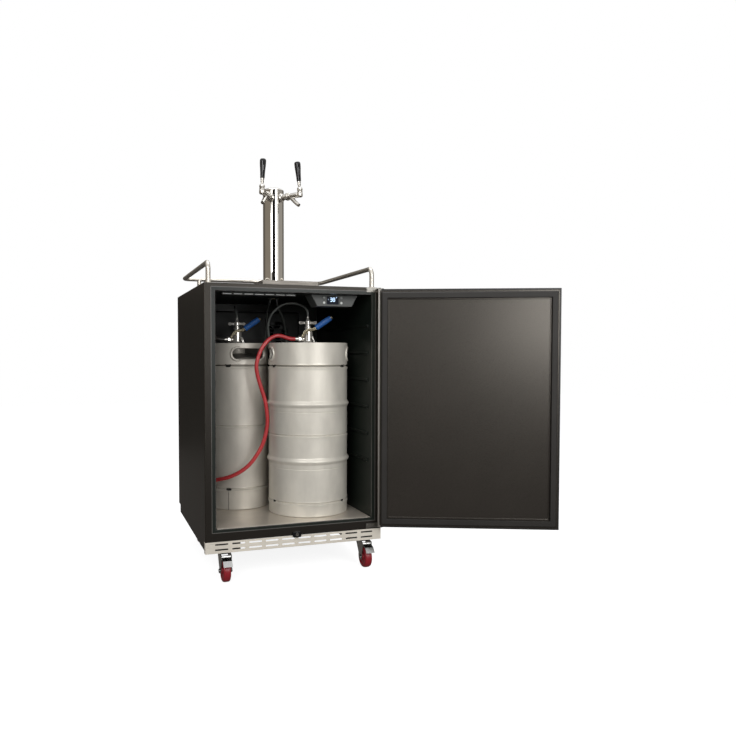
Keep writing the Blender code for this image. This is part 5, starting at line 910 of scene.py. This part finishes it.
def slab(name, outline, near, far):
    """A flat plate with an outline in X and Z, between two places along Y."""
    start()
    bpy.ops.mesh.primitive_circle_add(vertices=len(outline), fill_type="NGON")
    piece = bpy.context.object
    piece.name = name
    for vertex, (across, up) in zip(piece.data.vertices, outline):
        vertex.co = (across, near, up)
    bpy.ops.object.mode_set(mode="EDIT")
    bpy.ops.mesh.select_all(action="SELECT")
    bpy.ops.mesh.extrude_region_move(TRANSFORM_OT_translate={"value": (0, far - near, 0)})
    bpy.ops.mesh.select_all(action="SELECT")
    bpy.ops.mesh.normals_make_consistent(inside=False)
    bpy.ops.object.mode_set(mode="OBJECT")
    return piece


def slot_cutter(name, width, height, depth, steps=12):
    """A block with half-round ends, that points along -Y from the origin."""
    return slab(name, stadium(width, height, steps), 0, -depth)


def tube(name, points, radius, closed=False, radii=None, resolution=4):
    """A round tube along points, as a mesh."""
    curve = bpy.data.curves.new(name, "CURVE")
    curve.dimensions = "3D"
    curve.bevel_depth = radius
    curve.bevel_resolution = resolution
    curve.use_fill_caps = True
    spline = curve.splines.new("POLY")
    spline.points.add(len(points) - 1)
    for index, (point, spot) in enumerate(zip(spline.points, points)):
        point.co = (*spot, 1)
        point.radius = radii[index] if radii else 1.0
    spline.use_cyclic_u = closed
    piece = bpy.data.objects.new(name, curve)
    bpy.context.scene.collection.objects.link(piece)
    select(piece)
    bpy.ops.object.convert(target="MESH")
    bpy.ops.object.mode_set(mode="EDIT")
    bpy.ops.mesh.select_all(action="SELECT")
    bpy.ops.mesh.remove_doubles(threshold=tube_weld)
    bpy.ops.mesh.normals_make_consistent(inside=False)
    bpy.ops.object.mode_set(mode="OBJECT")
    return smooth(piece, 45)


def hole_lip(name, radius, turn, width):
    """The rolled lip of a hand hole, wrapped round the collar at an angle in degrees."""
    path = []
    for across, up in stadium(width + lip_margin, hole_height + lip_margin, 14):
        angle = math.radians(turn) + across / radius
        path.append((radius * math.cos(angle), radius * math.sin(angle), hole_middle + up))
    return tube(name, path, lip_radius, closed=True)


def through_wall(radius, turn, height, inside):
    """Where a cutter stands that goes out through a keg's wall from a depth inside it."""
    return seat((0, 0, height), ("Z", turn + 90)) @ Matrix.Translation((0, inside - radius, 0))


print("hand holes are", hole_height, "m high")

# %% Shade a keg's hollows
drain_skin, drain_low, drain_high = 0.0045, keg_foot + 0.03, collar_seam + 0.005
weld_skin, weld_floor, weld_low, weld_high = 0.0018, 0.0035, keg_foot + 0.005, 0.012
collar_skin, collar_inner, collar_low = 0.0016, 0.036, collar_seam - 0.01


def shade_hollows(keg, radius, chime_seam):
    """Paint shade into a keg's hollows: darker steel on the collar's inside, near-black in the drains, and
    near-black on the weld line, which is partly its own dark line.
    """
    keg.data.materials.append(collar_painted_shade)
    keg.data.materials.append(hollow_painted_shade)
    for face in keg.data.polygons:
        across, up = math.hypot(face.center.x, face.center.y), face.center.z
        in_drain = across < radius - drain_skin and drain_low < up < drain_high
        in_weld = (radius - weld_floor < across < radius - weld_skin
                   and weld_low < up < chime_seam - weld_high)
        in_collar = up > collar_low and collar_inner < across < radius - collar_skin
        face.material_index = 2 if in_drain or in_weld else int(in_collar)


print("hollows lie deeper than", drain_skin, weld_skin, collar_skin)

# %% Make both kegs
hole_cut, hole_start = 0.05, 0.030
drain_width, drain_height, drain_cut, drain_start, drain_drop = 0.020, 0.0085, 0.02, 0.005, 0.0015
weld_half, weld_depth, weld_reach = 0.0012, 0.0024, 0.01


def make_keg(name, steel, spot, shape, hole_turn, hole_width, drain_turn):
    """One keg with its two hand holes, its drain slots over and under the barrel and its weld."""
    radius, chime_seam = shape["radius"], shape["chime_seam"]
    hole_turns = (hole_turn, hole_turn + 180)
    keg = turned(name, keg_outline(**shape), steps=128)
    weld = block("weld", (-weld_half, -radius - weld_reach, keg_foot - weld_reach),
                 (weld_half, -radius + weld_depth, chime_seam))
    cutters = [place(weld, seat((0, 0, 0), ("Z", drain_turn + 90)))]
    for turn in hole_turns:
        cutter = slot_cutter("hand_hole", hole_width, hole_height, hole_cut)
        cutters.append(place(cutter, through_wall(radius, turn, hole_middle, hole_start)))
    for turn in (drain_turn, drain_turn + 120, drain_turn + 240):
        for height in (collar_seam - drain_drop, chime_seam - drain_drop):
            drain = slot_cutter("drain", drain_width, drain_height, drain_cut)
            cutters.append(place(drain, through_wall(radius, turn, height, drain_start)))
    cut(keg, *cutters)
    smooth(keg, 30)
    keg.data.materials.append(steel)
    shade_hollows(keg, radius, chime_seam)
    lips = [hole_lip("lip", radius, turn, hole_width) for turn in hole_turns]
    for lip in lips:
        lip.data.materials.append(steel)
    return place(join(name, keg, *lips), Matrix.Translation((*spot, 0)))


right_keg_spot = (0.100, -0.131)
left_keg_spot = (-0.122, 0.044)
right_keg = make_keg("wide_keg", keg_steel, right_keg_spot, wide_shape,
                     hole_turn=170, hole_width=0.120, drain_turn=-46.5)
dress(right_keg, None, "cabinet", "keg_stainless", "keg_right")
# The narrow keg takes the darker steel, which is painted shade.
left_keg = make_keg("narrow_keg", shaded_keg_steel, left_keg_spot, narrow_shape,
                    hole_turn=-79, hole_width=0.132, drain_turn=-118)
dress(left_keg, None, "cabinet", "keg_stainless", "keg_left")
print("kegs have", len(right_keg.data.polygons), "and", len(left_keg.data.polygons), "faces")

# %% [markdown]
# ## The couplers
# A coupler clamps on the keg's neck. Its lever opens the valve, the gas hose joins its side
# and the beer line leaves at its top under a wing nut. The body, the nut and the inlet are
# all turned pieces, stood upright or laid along the inlet's direction.

# %% Coupler body
coupler_turn, coupler_height = -19, 0.6253
lay_along_x = Matrix.Rotation(math.radians(90), 4, "Y")
wing_root, wing_end, wing_half, wing_low, wing_high, wing_edge = 0.010, 0.029, 0.0030, 0.0855, 0.0945, 0.0014
tip_reach, tip_height, tip_radius, tip_edge = 0.0258, 0.0900, 0.0062, 0.0010
inlet_height = 0.032
inlet_parts = (("inlet", 0, 0.040, 0.0080, 24, 0.0006, 0.0068),
               ("inlet_tail", 0.039, 0.048, 0.0060, 24, 0.0006, 0.0060),
               ("inlet_nut", 0.025, 0.037, 0.0110, 6, 0.0010, 0.0110),
               ("inlet_collar", 0.0215, 0.0245, 0.0100, 24, 0.0006, 0.0100))
leg_path = ((0.0165, 0.0150, 0.040), (0.0195, 0.0170, 0.030),
            (0.0250, 0.0175, 0.018), (0.0275, 0.0120, 0.008))
leg_radius = 0.0036


def coupler_seat(spot):
    """Where a keg's coupler stands, with its lever's side turned towards the front."""
    return seat((*spot, coupler_height), ("Z", coupler_turn))


def make_coupler_body():
    """Flange, skirt, body, wing nut and nipple, with the gas inlet and two legs at the side."""
    body = turned("coupler_body", [
        (0, 0.1130), (0.0040, 0.1130, 0.0006), (0.0045, 0.1085, 0.0006), (0.0045, 0.1060),
        (0.0075, 0.0985, 0.001), (0.0098, 0.0978, 0.0012), (0.0104, 0.0950, 0.0008), (0.0104, 0.0845, 0.0008),
        (0.0098, 0.0822, 0.0006), (0.0092, 0.0820), (0.0092, 0.0770, 0.0006), (0.0125, 0.0762, 0.0006),
        (0.0125, 0.0715, 0.0006), (0.0112, 0.0705, 0.0006), (0.0112, 0.0650, 0.001), (0.0170, 0.0612, 0.0015),
        (0.0178, 0.0590, 0.001), (0.0178, 0.0240, 0.0015), (0.0220, 0.0215, 0.001), (0.0245, 0.0195, 0.0015),
        (0.0245, 0.0120, 0.001), (0.0290, 0.0110, 0.0012), (0.0300, 0.0095, 0.0008), (0.0300, 0.0008, 0.0008),
        (0.0290, 0.0), (0, 0.0)])
    wings = []
    for side in (-1, 1):
        wings.append(block("wing", (side * wing_root, -wing_half, wing_low),
                           (side * wing_end, wing_half, wing_high), wing_edge))
        wings.append(rod("wing_tip", (side * tip_reach, -wing_half, tip_height),
                         (side * tip_reach, wing_half, tip_height), tip_radius, edge=tip_edge))
    direction = Vector((-math.cos(math.radians(coupler_turn)), math.sin(math.radians(coupler_turn)), 0))
    base = Vector((0, 0, inlet_height))
    inlet = [rod(name, base + direction * near, base + direction * far, radius, sides, edge, end_radius)
             for name, near, far, radius, sides, edge, end_radius in inlet_parts]
    legs = [tube("leg", [(x, side * y, z) for x, y, z in leg_path], leg_radius) for side in (-1, 1)]
    return join("coupler_body", body, *wings, *inlet, *legs)


print("wings reach", wing_end, "m from the coupler's axis")

# %% Coupler lever and grip
lever_pivot, lever_angle = (0, 0, 0.051), -35
arch_start, arch_length, arch_top, arch_rise = -0.025, 0.054, 0.0085, 0.0105
band_over, band_under = 0.0050, 0.0042
arm_inner, arm_outer, arm_edge = 0.0183, 0.0236, 0.0010
lever_rods = (("lever_rod", 0.031, 0.1057, 0.0050, 24, 0),
              ("lever_collar", 0.0335, 0.0357, 0.0078, 24, 0.0005),
              ("lever_knob", 0.1003, 0.1060, 0.0098, 32, 0.0014))
grip_foot, grip_length, grip_groove_shares = 0.036, 0.064, (0.86, 0.40, 0.28, 0.16)
grip_radius, grip_bore, grip_round = 0.0105, 0.0053, 0.0008
grip_groove_radius, grip_groove_half = 0.0092, 0.0020


def make_coupler_lever():
    """Arched yoke, rod and end knob, along X from the lever's own pivot."""
    arch = [(arch_start + arch_length * step / 12, arch_top - arch_rise * (step / 6 - 1) ** 2)
            for step in range(13)]
    band = [(x, z + band_over) for x, z in arch] + [(x, z - band_under) for x, z in reversed(arch)]
    arms = [soften(slab("arm", band, side * arm_inner, side * arm_outer), arm_edge) for side in (-1, 1)]
    bridge = block("coupler_lever", (0.0262, -arm_outer, -0.0055), (0.0340, arm_outer, 0.0045), 0.0016)
    rods = [rod(name, (near, 0, 0), (far, 0, 0), radius, sides, edge)
            for name, near, far, radius, sides, edge in lever_rods]
    pins = [rod("yoke_pin", (0, side * 0.0205, 0), (0, side * 0.0243, 0), 0.0036, 20, 0.0006)
            for side in (-1, 1)]
    return join("coupler_lever", bridge, *arms, *rods, *pins)


def make_coupler_grip():
    """Soft grip on the lever's rod, with three finger grooves near its foot and one near its end."""
    outline = [(grip_bore, 0.1000), (0.0088, 0.1000, 0.0012), (grip_radius, 0.0970, 0.002)]
    for share in grip_groove_shares:
        middle = grip_foot + grip_length * share
        outline += [(grip_radius, middle + grip_groove_half, grip_round),
                    (grip_groove_radius, middle, grip_round),
                    (grip_radius, middle - grip_groove_half, grip_round)]
    outline += [(grip_radius, 0.0385, 0.0015), (0.0090, grip_foot, grip_round), (grip_bore, grip_foot)]
    grip = turned("coupler_grip", outline, 40, closed=True)
    return place(grip, lay_along_x)


print("grips are", grip_length, "m long")

# %% Seat both couplers
for side, spot in (("right", right_keg_spot), ("left", left_keg_spot)):
    body_seat = coupler_seat(spot)
    lever_seat = body_seat @ seat(lever_pivot, ("Y", lever_angle))
    body = place(make_coupler_body(), body_seat)
    body.name = f"coupler_turned_{side}"
    dress(body, coupler_steel, "cabinet", "polished_stainless", f"coupler_body_{side}")
    lever = place(make_coupler_lever(), lever_seat)
    lever.name = f"coupler_yoke_{side}"
    dress(lever, brass, f"coupler_arm_{side}", "pale_brass", f"coupler_lever_{side}")
    grip = place(make_coupler_grip(), lever_seat)
    grip.name = f"blue_grip_{side}"
    dress(grip, grip_blue, f"coupler_arm_{side}", "blue_grip", f"coupler_grip_{side}")
    print(side, "coupler faces", len(body.data.polygons))

# %% [markdown]
# ## Kick plate, vent lights and frame trim
# The kick plate is folded sheet with two rows of slots that have half-round ends, so a hollow
# and then the slots are cut from one block. Pale lenses sit back in the ceiling vent's slots.
# A thin trim covers the joint between frame and liner, and another runs round the liner's lip. Their pale
# tone is a painted highlight of those edges.

# %% Kick plate
kick_low, kick_high = Vector((-0.305, -0.320, -0.038)), Vector((0.305, -0.300, -0.0003))
sheet, thin_edge = 0.0012, 0.0003
slot_width, slot_height, slot_cut, slot_start = 0.043, 0.005, 0.01, 0.005
first_slot, slot_pitch, slots_in_row, slot_rows = -0.252, 0.056, 10, (-0.0095, -0.0265)
kick_plate = block("kick_plate", kick_low, kick_high)
hollow = block("hollow", (kick_low.x + sheet, kick_low.y + sheet, -0.1), (kick_high.x - sheet, 0, 0.1))
cut(kick_plate, hollow)
slots = []
for height in slot_rows:
    for step in range(slots_in_row):
        slot = slot_cutter("slot", slot_width, slot_height, slot_cut)
        spot = (first_slot + slot_pitch * step, kick_low.y + slot_start, height)
        slots.append(place(slot, Matrix.Translation(spot)))
cut(kick_plate, join("slots", *slots))
soften(kick_plate, thin_edge)
dress(kick_plate, kick_steel, "cabinet", "brushed_stainless", "kick_grille")
print("kick plate faces", len(kick_plate.data.polygons))

# %% Vent lenses
lens_left, lens_right, lens_pitch, lens_count = -0.2345, -0.2055, 0.036, 7
lens_front, lens_back, lens_foot, lens_head = -0.2690, -0.2660, 0.7999, 0.8025
lenses = [block("lens", (lens_left + lens_pitch * step, lens_front, lens_foot),
                (lens_right + lens_pitch * step, lens_back, lens_head), thin_edge)
          for step in range(lens_count)]
dress(join("vent_lenses", *lenses), lens_pale, "cabinet", "pale_button")
print("vent lenses", len(lenses))

# %% Frame trim
trim_back = -0.3186


def trim(name, half_width, foot, head, front, thickness):
    """A thin square bead round an opening, of two upright bars and two level ones."""
    sides = [block("side", (side * half_width - thickness, front, foot),
                   (side * half_width + thickness, trim_back, head), thin_edge) for side in (-1, 1)]
    ends = [block("end", (-half_width, front, z - thickness),
                  (half_width, trim_back, z + thickness), thin_edge) for z in (foot, head)]
    return join(name, *sides, *ends)


# Both trims are paler than the paint as a painted highlight of the edges they follow; the frame trim also
# covers a real joint.
frame_trim = trim("frame_trim", 0.2824, foot=0.0286, head=0.8180, front=-0.3204, thickness=0.0011)
dress(frame_trim, edge_highlight_trim, "cabinet", "grey_plastic")
lip_trim = trim("lip_trim", 0.2700, foot=0.0382, head=0.8070, front=-0.3200, thickness=0.0009)
dress(lip_trim, edge_highlight_trim, "cabinet", "grey_plastic")
print("trims", len(frame_trim.data.polygons), len(lip_trim.data.polygons))

# %% [markdown]
# ## The draft tower
# The column is a polished tube on a flange, closed by a shallow domed cap. Both are spun from
# short outlines. Many segments matter here, because a mirror-like cylinder shows every facet.

# %% Tower column and cap
tower_y, top_face, tower_top, tower_steps = -0.030, 0.8313, 1.1957, 128
tower_radius, tower_bore, flange_radius = 0.0380, 0.0365, 0.0570
cap_base, cap_rise, cap_foot, cap_angles = 1.1990, 0.0100, 1.1960, (12, 24, 36, 48, 60, 72, 82)
column = turned("tower_tube", [
    (tower_bore, tower_top), (tower_radius, tower_top, 0.0004), (tower_radius, 0.8385, 0.0006),
    (0.0400, 0.8383, 0.0006), (0.0545, 0.8376, 0.0012), (flange_radius, 0.8350, 0.0008),
    (flange_radius, top_face), (tower_bore, top_face)], tower_steps, closed=True)
place(column, Matrix.Translation((0, tower_y, 0)))
dress(column, polished_steel, "cabinet", "polished_stainless", "tower_column")
cap_dome = [(tower_radius * math.sin(math.radians(a)), cap_base + cap_rise * math.cos(math.radians(a)))
            for a in cap_angles]
cap = turned("tower_lid", [
    (0, 1.2090), *cap_dome, (tower_radius, 1.1985), (tower_radius, 1.1963, 0.0004),
    (0.0372, cap_foot), (0, cap_foot)], tower_steps)
place(cap, Matrix.Translation((0, tower_y, 0)))
dress(cap, polished_steel, "cabinet", "polished_stainless", "tower_cap")
print("tower column and cap", len(column.data.polygons), len(cap.data.polygons))

# %% [markdown]
# ## The faucets
# A faucet screws on a shank that comes through the column behind a round collar. Its barrel
# lies level, the bonnet with the lever stands across it, and the spout curves down and out.
# Barrel and bonnet are turned, and the spout is a tapering tube on a smooth path through six
# points. A second, thinner tube turns down inside the column, where the beer comes up.

# %% Faucet
tap_spread = 33
tap_reach = 0.1265
shank_height = 1.170
notch_circle, notch_radius, notch_count = 0.0140, 0.0017, 6
spout_route = ((0.078, 0, 0.002), (0.085, 0, -0.004), (0.095, 0, -0.014), (0.108, 0, -0.026),
               (0.122, 0, -0.037), (0.1225, 0, -0.0374))
spout_radius, spout_bore, spout_swell, spout_taper, spout_spacing = 0.0072, 0.0050, 1.05, 0.16, 0.0022
tail_route = ((0.030, 0, 0.0), (0.026, 0, 0.0), (0.020, 0, -0.0008), (0.0142, 0, -0.0050),
              (0.0125, 0, -0.012), (0.0125, 0, -0.030))
tail_radius, tail_spacing = 0.0045, 0.002


def tap_seat(side):
    """Where a tap's shank leaves the tower's axis, with +X pointing outward."""
    return seat((0, tower_y, shank_height), ("Z", -90 + side * tap_spread))


def make_faucet():
    """Collar, shank, coupling nut, barrel, bonnet, spout and the tail inside the column."""
    barrel = turned("faucet", [
        (0, 0.1213), (0.0078, 0.1213, 0.0015), (0.0095, 0.1190, 0.001), (0.0095, 0.0820, 0.0008),
        (0.0108, 0.0808, 0.0006), (0.0108, 0.0775, 0.0006), (0.0100, 0.0765, 0.0004), (0.0100, 0.0752),
        (0.0129, 0.0750, 0.0006), (0.0135, 0.0738, 0.0004), (0.0135, 0.0662, 0.0004),
        (0.0129, 0.0650, 0.0004), (0.0104, 0.0648), (0.0100, 0.0640), (0.0100, 0.0452, 0.0006),
        (0.0118, 0.0437, 0.001), (0.0150, 0.0425, 0.0012), (0.0155, 0.0408, 0.0008),
        (0.0152, 0.0388, 0.0004), (0.0100, 0.0384),
        (0.0100, 0.0202), (0, 0.0200)], 64)
    ball = arc(0, 0.0180, 0.0100, 68, -38, 10)
    notches = []
    for angle in (math.tau * index / notch_count for index in range(notch_count)):
        across, up = notch_circle * math.cos(angle), notch_circle * math.sin(angle)
        notches.append(rod("notch", (across, up, 0.060), (across, up, 0.080), notch_radius, 12))
    cut(barrel, join("notches", *notches))
    place(barrel, lay_along_x)
    bonnet = turned("bonnet", [(0, 0.0275), *ball, (0.0102, 0.0106, 0.0005), (0.0102, 0.0084, 0.0005),
                               (0.0090, 0.0076), (0.0102, 0.0030, 0.001), (0.0104, -0.0050, 0.001),
                               (0.0092, -0.0078, 0.001), (0.0060, -0.0094), (0, -0.0100)], 48)
    place(bonnet, Matrix.Translation((tap_reach, 0, 0)))
    path = smooth_route(spout_route, spout_spacing)
    radii = [spout_swell - spout_taper * index / (len(path) - 1) for index in range(len(path))]
    spout = tube("spout", path, spout_radius, radii=radii, resolution=6)
    tip, inward = path[-1], (path[-4] - path[-1]).normalized()
    cut(spout, rod("spout_bore", tip - inward * 0.004, tip + inward * 0.012, spout_bore, 32))
    smooth(spout, 40)
    tail = tube("tail", smooth_route(tail_route, tail_spacing), tail_radius)
    return join("faucet", barrel, bonnet, spout, tail)


print("spout and tail routes have", len(spout_route), "and", len(tail_route), "points")

# %% Tap stem and handle
stem_rise, stem_lean = 0.012, -6.5


def make_ferrule():
    """The lever's stem with its jam nut, where the handle screws on."""
    return turned("ferrule", [
        (0, 0.0355), (0.0058, 0.0355, 0.0005), (0.0062, 0.0348, 0.0004), (0.0062, 0.0290, 0.0005),
        (0.0050, 0.0282, 0.0004), (0.0048, 0.0276), (0.0048, 0.0262, 0.0004), (0.0060, 0.0258, 0.0004),
        (0.0060, 0.0222, 0.0004), (0.0048, 0.0218), (0.0046, 0.0162, 0.0004), (0, 0.0156)], 40)


def make_tap_handle():
    """Black handle, slim at its foot and full near its flat top."""
    return turned("handle", [
        (0, 0.1048), (0.0072, 0.1048, 0.0010), (0.0104, 0.1030, 0.0024), (0.0112, 0.0975, 0.006),
        (0.0108, 0.0840, 0.010), (0.0086, 0.0600, 0.012), (0.0078, 0.0372, 0.0010), (0.0070, 0.0358),
        (0, 0.0358)], 48)


for side, turn in (("left", -1), ("right", 1)):
    faucet = place(make_faucet(), tap_seat(turn))
    faucet.name = f"tap_body_{side}"
    dress(faucet, polished_steel, "cabinet", "polished_stainless", f"faucet_{side}")
    lever_seat = tap_seat(turn) @ seat((tap_reach, 0, stem_rise), ("Y", stem_lean))
    ferrule = place(make_ferrule(), lever_seat)
    ferrule.name = f"tap_stem_{side}"
    dress(ferrule, polished_steel, f"tap_{side}", "polished_stainless", f"tap_lever_{side}")
    handle = place(make_tap_handle(), lever_seat)
    handle.name = f"tap_grip_{side}"
    dress(handle, black_plastic, f"tap_{side}", "black_plastic", f"tap_handle_{side}")
    print(side, "faucet faces", len(faucet.data.polygons))

# %% [markdown]
# ## The guard rail
# One steel tube is bent round three sides of the top. A ring of points is extruded for each
# straight run and spun for each bend, as a tube bender would do it, so the bends stay round.

# %% Guard rail
def run_on(step):
    """Extrude the open end of a tube in a straight line."""
    bpy.ops.mesh.extrude_region_move(TRANSFORM_OT_translate={"value": step})


def bend(centre, axis, degrees, steps=14):
    """Spin the open end of a tube round a centre; the operator itself turns left-handed."""
    bpy.ops.mesh.spin(steps=steps, angle=-math.radians(degrees), center=centre, axis=axis)


rail_x, rail_front, rail_back = 0.2845, -0.282, 0.277
rail_height, rail_bend, rail_radius = 0.900, 0.024, 0.008
start()
bpy.ops.mesh.primitive_circle_add(vertices=32, radius=rail_radius, location=(-rail_x, rail_front, top_face))
rail = bpy.context.object
rail.name = "top_rail"
bpy.ops.object.mode_set(mode="EDIT")
bpy.ops.mesh.select_all(action="SELECT")
run_on((0, 0, rail_height - rail_bend - top_face))
bend((-rail_x, rail_front + rail_bend, rail_height - rail_bend), (-1, 0, 0), 90)
run_on((0, rail_back - rail_front - 2 * rail_bend, 0))
bend((-rail_x + rail_bend, rail_back - rail_bend, rail_height), (0, 0, -1), 90)
run_on((2 * rail_x - 2 * rail_bend, 0, 0))
bend((rail_x - rail_bend, rail_back - rail_bend, rail_height), (0, 0, -1), 90)
run_on((0, rail_front - rail_back + 2 * rail_bend, 0))
bend((rail_x, rail_front + rail_bend, rail_height - rail_bend), (1, 0, 0), 90)
run_on((0, 0, top_face - rail_height + rail_bend))
bpy.ops.mesh.select_all(action="SELECT")
bpy.ops.mesh.remove_doubles(threshold=tube_weld)
bpy.ops.mesh.fill_holes(sides=0)
bpy.ops.mesh.normals_make_consistent(inside=False)
smooth(rail, 40)
place(rail, rail.matrix_world.copy())
print("rail faces", len(rail.data.polygons))

# %% Rail posts and feet
post_x, post_radius, post_drop = 0.225, 0.0078, 0.002


def rail_foot(spot):
    """A small round foot that covers a post's fixing."""
    foot = turned("rail_foot", [(0.0081, 0.0046), (0.0092, 0.0040, 0.0008), (0.0132, 0.0026, 0.0010),
                                (0.0140, 0.0014, 0.0006), (0.0140, 0.0), (0.0081, 0.0)], 48, closed=True)
    return place(foot, Matrix.Translation((*spot, top_face)))


rail_posts = [rod("rear_post", (side * post_x, rail_back, top_face),
                  (side * post_x, rail_back, rail_height - post_drop), post_radius, 32)
              for side in (-1, 1)]
rail_feet = [rail_foot(spot) for spot in ((-rail_x, rail_front), (rail_x, rail_front),
                                          (-post_x, rail_back), (post_x, rail_back))]
rail = join("top_rail", rail, *rail_posts, *rail_feet)
dress(rail, rail_steel, "cabinet", "brushed_stainless", "guard_rail")
print("rail with posts and feet", len(rail.data.polygons))

# %% [markdown]
# ## Casters
# A caster's wheel is cast in red polyurethane with a crowned tread and a dished side round
# its hub. It is spun upright and laid on its side. The fork is folded plate, which the solid
# already shows, so it gets a plated finish, soft edges and the two heads of its axle bolt.

# %% Wheels and forks
caster_trail, wheel_height = 0.028, -0.1055
bolt_near, bolt_far, bolt_radius, bolt_edge = 0.0172, 0.0222, 0.0078, 0.0008


def make_wheel(name, spot):
    """A wheel with its tread, dished sides, hub and bore, on an axle along X."""
    side = [(0.0043, 0.0152), (0.0120, 0.0152, 0.0010), (0.0130, 0.0140, 0.0008), (0.0130, 0.0108, 0.0015),
            (0.0225, 0.0100, 0.0020), (0.0260, 0.0122, 0.0015), (0.0285, 0.0130, 0.0012),
            (0.0345, 0.0122, 0.0040), (0.0371, 0.0080, 0.0030), (0.0375, 0.0)]
    mirrored = [(point[0], -point[1], *point[2:]) for point in side[-2::-1]]
    wheel = turned(name, side + mirrored, 72, closed=True)
    return place(wheel, Matrix.Translation(spot) @ lay_along_x)


caster_spots = {"front_left": (-0.233, -0.256), "front_right": (0.262, -0.256),
                "rear_left": (-0.233, 0.256), "rear_right": (0.262, 0.256)}
for corner, (x, y) in caster_spots.items():
    axle_y = y - caster_trail
    wheel = make_wheel(f"red_wheel_{corner}", (x, axle_y, wheel_height))
    dress(wheel, tyre_red, f"wheel_{corner}", "red_tyre", f"wheel_{corner}")
    coat(zinc, f"fork_{corner}", edge=0.0005)
    bolts = [rod("bolt_head", (x + side * bolt_near, axle_y, wheel_height),
                 (x + side * bolt_far, axle_y, wheel_height), bolt_radius, 6, bolt_edge)
             for side in (-1, 1)]
    bolt = join(f"axle_bolt_{corner}", *bolts)
    dress(bolt, zinc, f"fork_{corner}", "galvanised_steel")
coat(zinc, "pedal_front_left", "pedal_front_right", edge=0.0005)
print("wheels at", sorted(caster_spots))

# %% [markdown]
# ## The door's handle
# A round bar stands off the door's face on two short posts. Each is a bevelled rod, and the
# group is placed with the door's own hinge matrix, so it swings with the door.

# %% Door handle
door_seat = seat(door_pin, ("Z", door_open))
handle_x, handle_y, door_face = -0.550, -0.0693, -0.0233
handle_pieces = [rod("bar", (handle_x, handle_y, 0.300), (handle_x, handle_y, 0.740), 0.010, 48, 0.0020)]
for height in (0.350, 0.690):
    handle_pieces.append(rod("post", (handle_x, handle_y, height), (handle_x, door_face, height), 0.0070, 32))
    handle_pieces.append(rod("foot", (handle_x, door_face - 0.004, height), (handle_x, door_face, height),
                             0.0130, 40, 0.0012))
door_bar = place(join("bar_handle", *handle_pieces), door_seat)
dress(door_bar, rail_steel, "door", "brushed_stainless", "door_handle")
print("door handle faces", len(door_bar.data.polygons))

# %% [markdown]
# ## The control's display and buttons
# The display is a dark window flush in the housing with glowing digits, and each button is a
# small disc with a ring pressed in it. The digits are a plain number made of seven-segment
# bars, and they are real thin bars so that they stay sharp from any side.

# %% Buttons
control_face = -0.2700
face_forward = Matrix.Rotation(math.radians(90), 4, "X")


def make_button(name, spot):
    """A round button whose face has a shallow ring."""
    button = turned(name, [
        (0, 0.0013), (0.0022, 0.0013, 0.0002), (0.0024, 0.0009, 0.0002), (0.0030, 0.0009, 0.0002),
        (0.0032, 0.0013, 0.0002), (0.0042, 0.0012, 0.0004), (0.0042, -0.0034, 0.0003), (0, -0.0035)], 40)
    return place(button, Matrix.Translation(spot) @ face_forward)


for row, (height, plastic) in enumerate(((0.7962, button_dark), (0.7787, button_pale))):
    for column_index, x in enumerate((0.114, 0.177)):
        node = f"button_{row}_{column_index}"
        button = make_button(f"round_{node}", (x, control_face, height))
        dress(button, plastic, node, "pale_button", node)
print("four buttons")

# %% Display with its digits
display_black = moulded("display_black", (0.004, 0.006, 0.014), 0.28, 0.004, 0.000001, 0.05, 0.03)
digit_glow = finish("digit_glow", (0.55, 0.75, 1.0), 0.5)
glow_shader = digit_glow.node_tree.nodes["Principled BSDF"]
glow_shader.inputs["Emission Color"].default_value = (0.55, 0.75, 1.0, 1.0)
glow_shader.inputs["Emission Strength"].default_value = 1.6
vary(digit_glow, "Roughness", noise(digit_glow, 0.002), 0.4, 0.6)
digit_front, window_back, bar_edge, bar_gap = -0.2703, -0.2696, 0.0001, 0.7
window = block("display_window", (0.1238, control_face, 0.7735), (0.1667, window_back, 0.8009), bar_edge, 1)
dress(window, display_black, "cabinet", "grey_plastic")

segment_places = {"a": (0, 1, 1, 0), "b": (0.5, 0.5, 0, 1), "c": (0.5, -0.5, 0, 1), "d": (0, -1, 1, 0),
                  "e": (-0.5, -0.5, 0, 1), "f": (-0.5, 0.5, 0, 1), "g": (0, 0, 1, 0)}


def make_digit(segments, middle_x, middle_z, width=0.0068, height=0.0120, stroke=0.0009):
    """Seven-segment bars of one digit on the display's face."""
    bars = []
    for letter in segments:
        across, up, level, upright = segment_places[letter]
        x, z = middle_x + across * width, middle_z + up * height / 2
        half_x = (width / 2 - stroke * bar_gap) * level + stroke * upright
        half_z = (height / 4 - stroke * bar_gap) * upright + stroke * level
        bars.append(block("bar", (x - half_x, digit_front, z - half_z),
                          (x + half_x, control_face, z + half_z), bar_edge, 1))
    return bars


digits = make_digit("abcdg", 0.1395, 0.7895) + make_digit("abcdefg", 0.1495, 0.7895)
digits.append(block("mark", (0.1290, digit_front, 0.7890), (0.1312, control_face, 0.7900), bar_edge, 1))
degree = turned("degree", [(0.0010, 0.0003), (0.0017, 0.0003), (0.0017, 0.0), (0.0010, 0.0)], 20, closed=True)
place(degree, Matrix.Translation((0.1590, control_face, 0.7970)) @ face_forward)
shown = join("display_digits", *digits, degree)
dress(shown, digit_glow, "cabinet", "grey_plastic")
print("display digits", len(shown.data.polygons), "faces")

# %% [markdown]
# ## Finish
# The dressed model has to fill the same box as the solids, whose span is printed when they
# are loaded. Last, the view transform is set to Standard.

# %% Finish
bpy.context.scene.view_settings.view_transform = "Standard"
start()
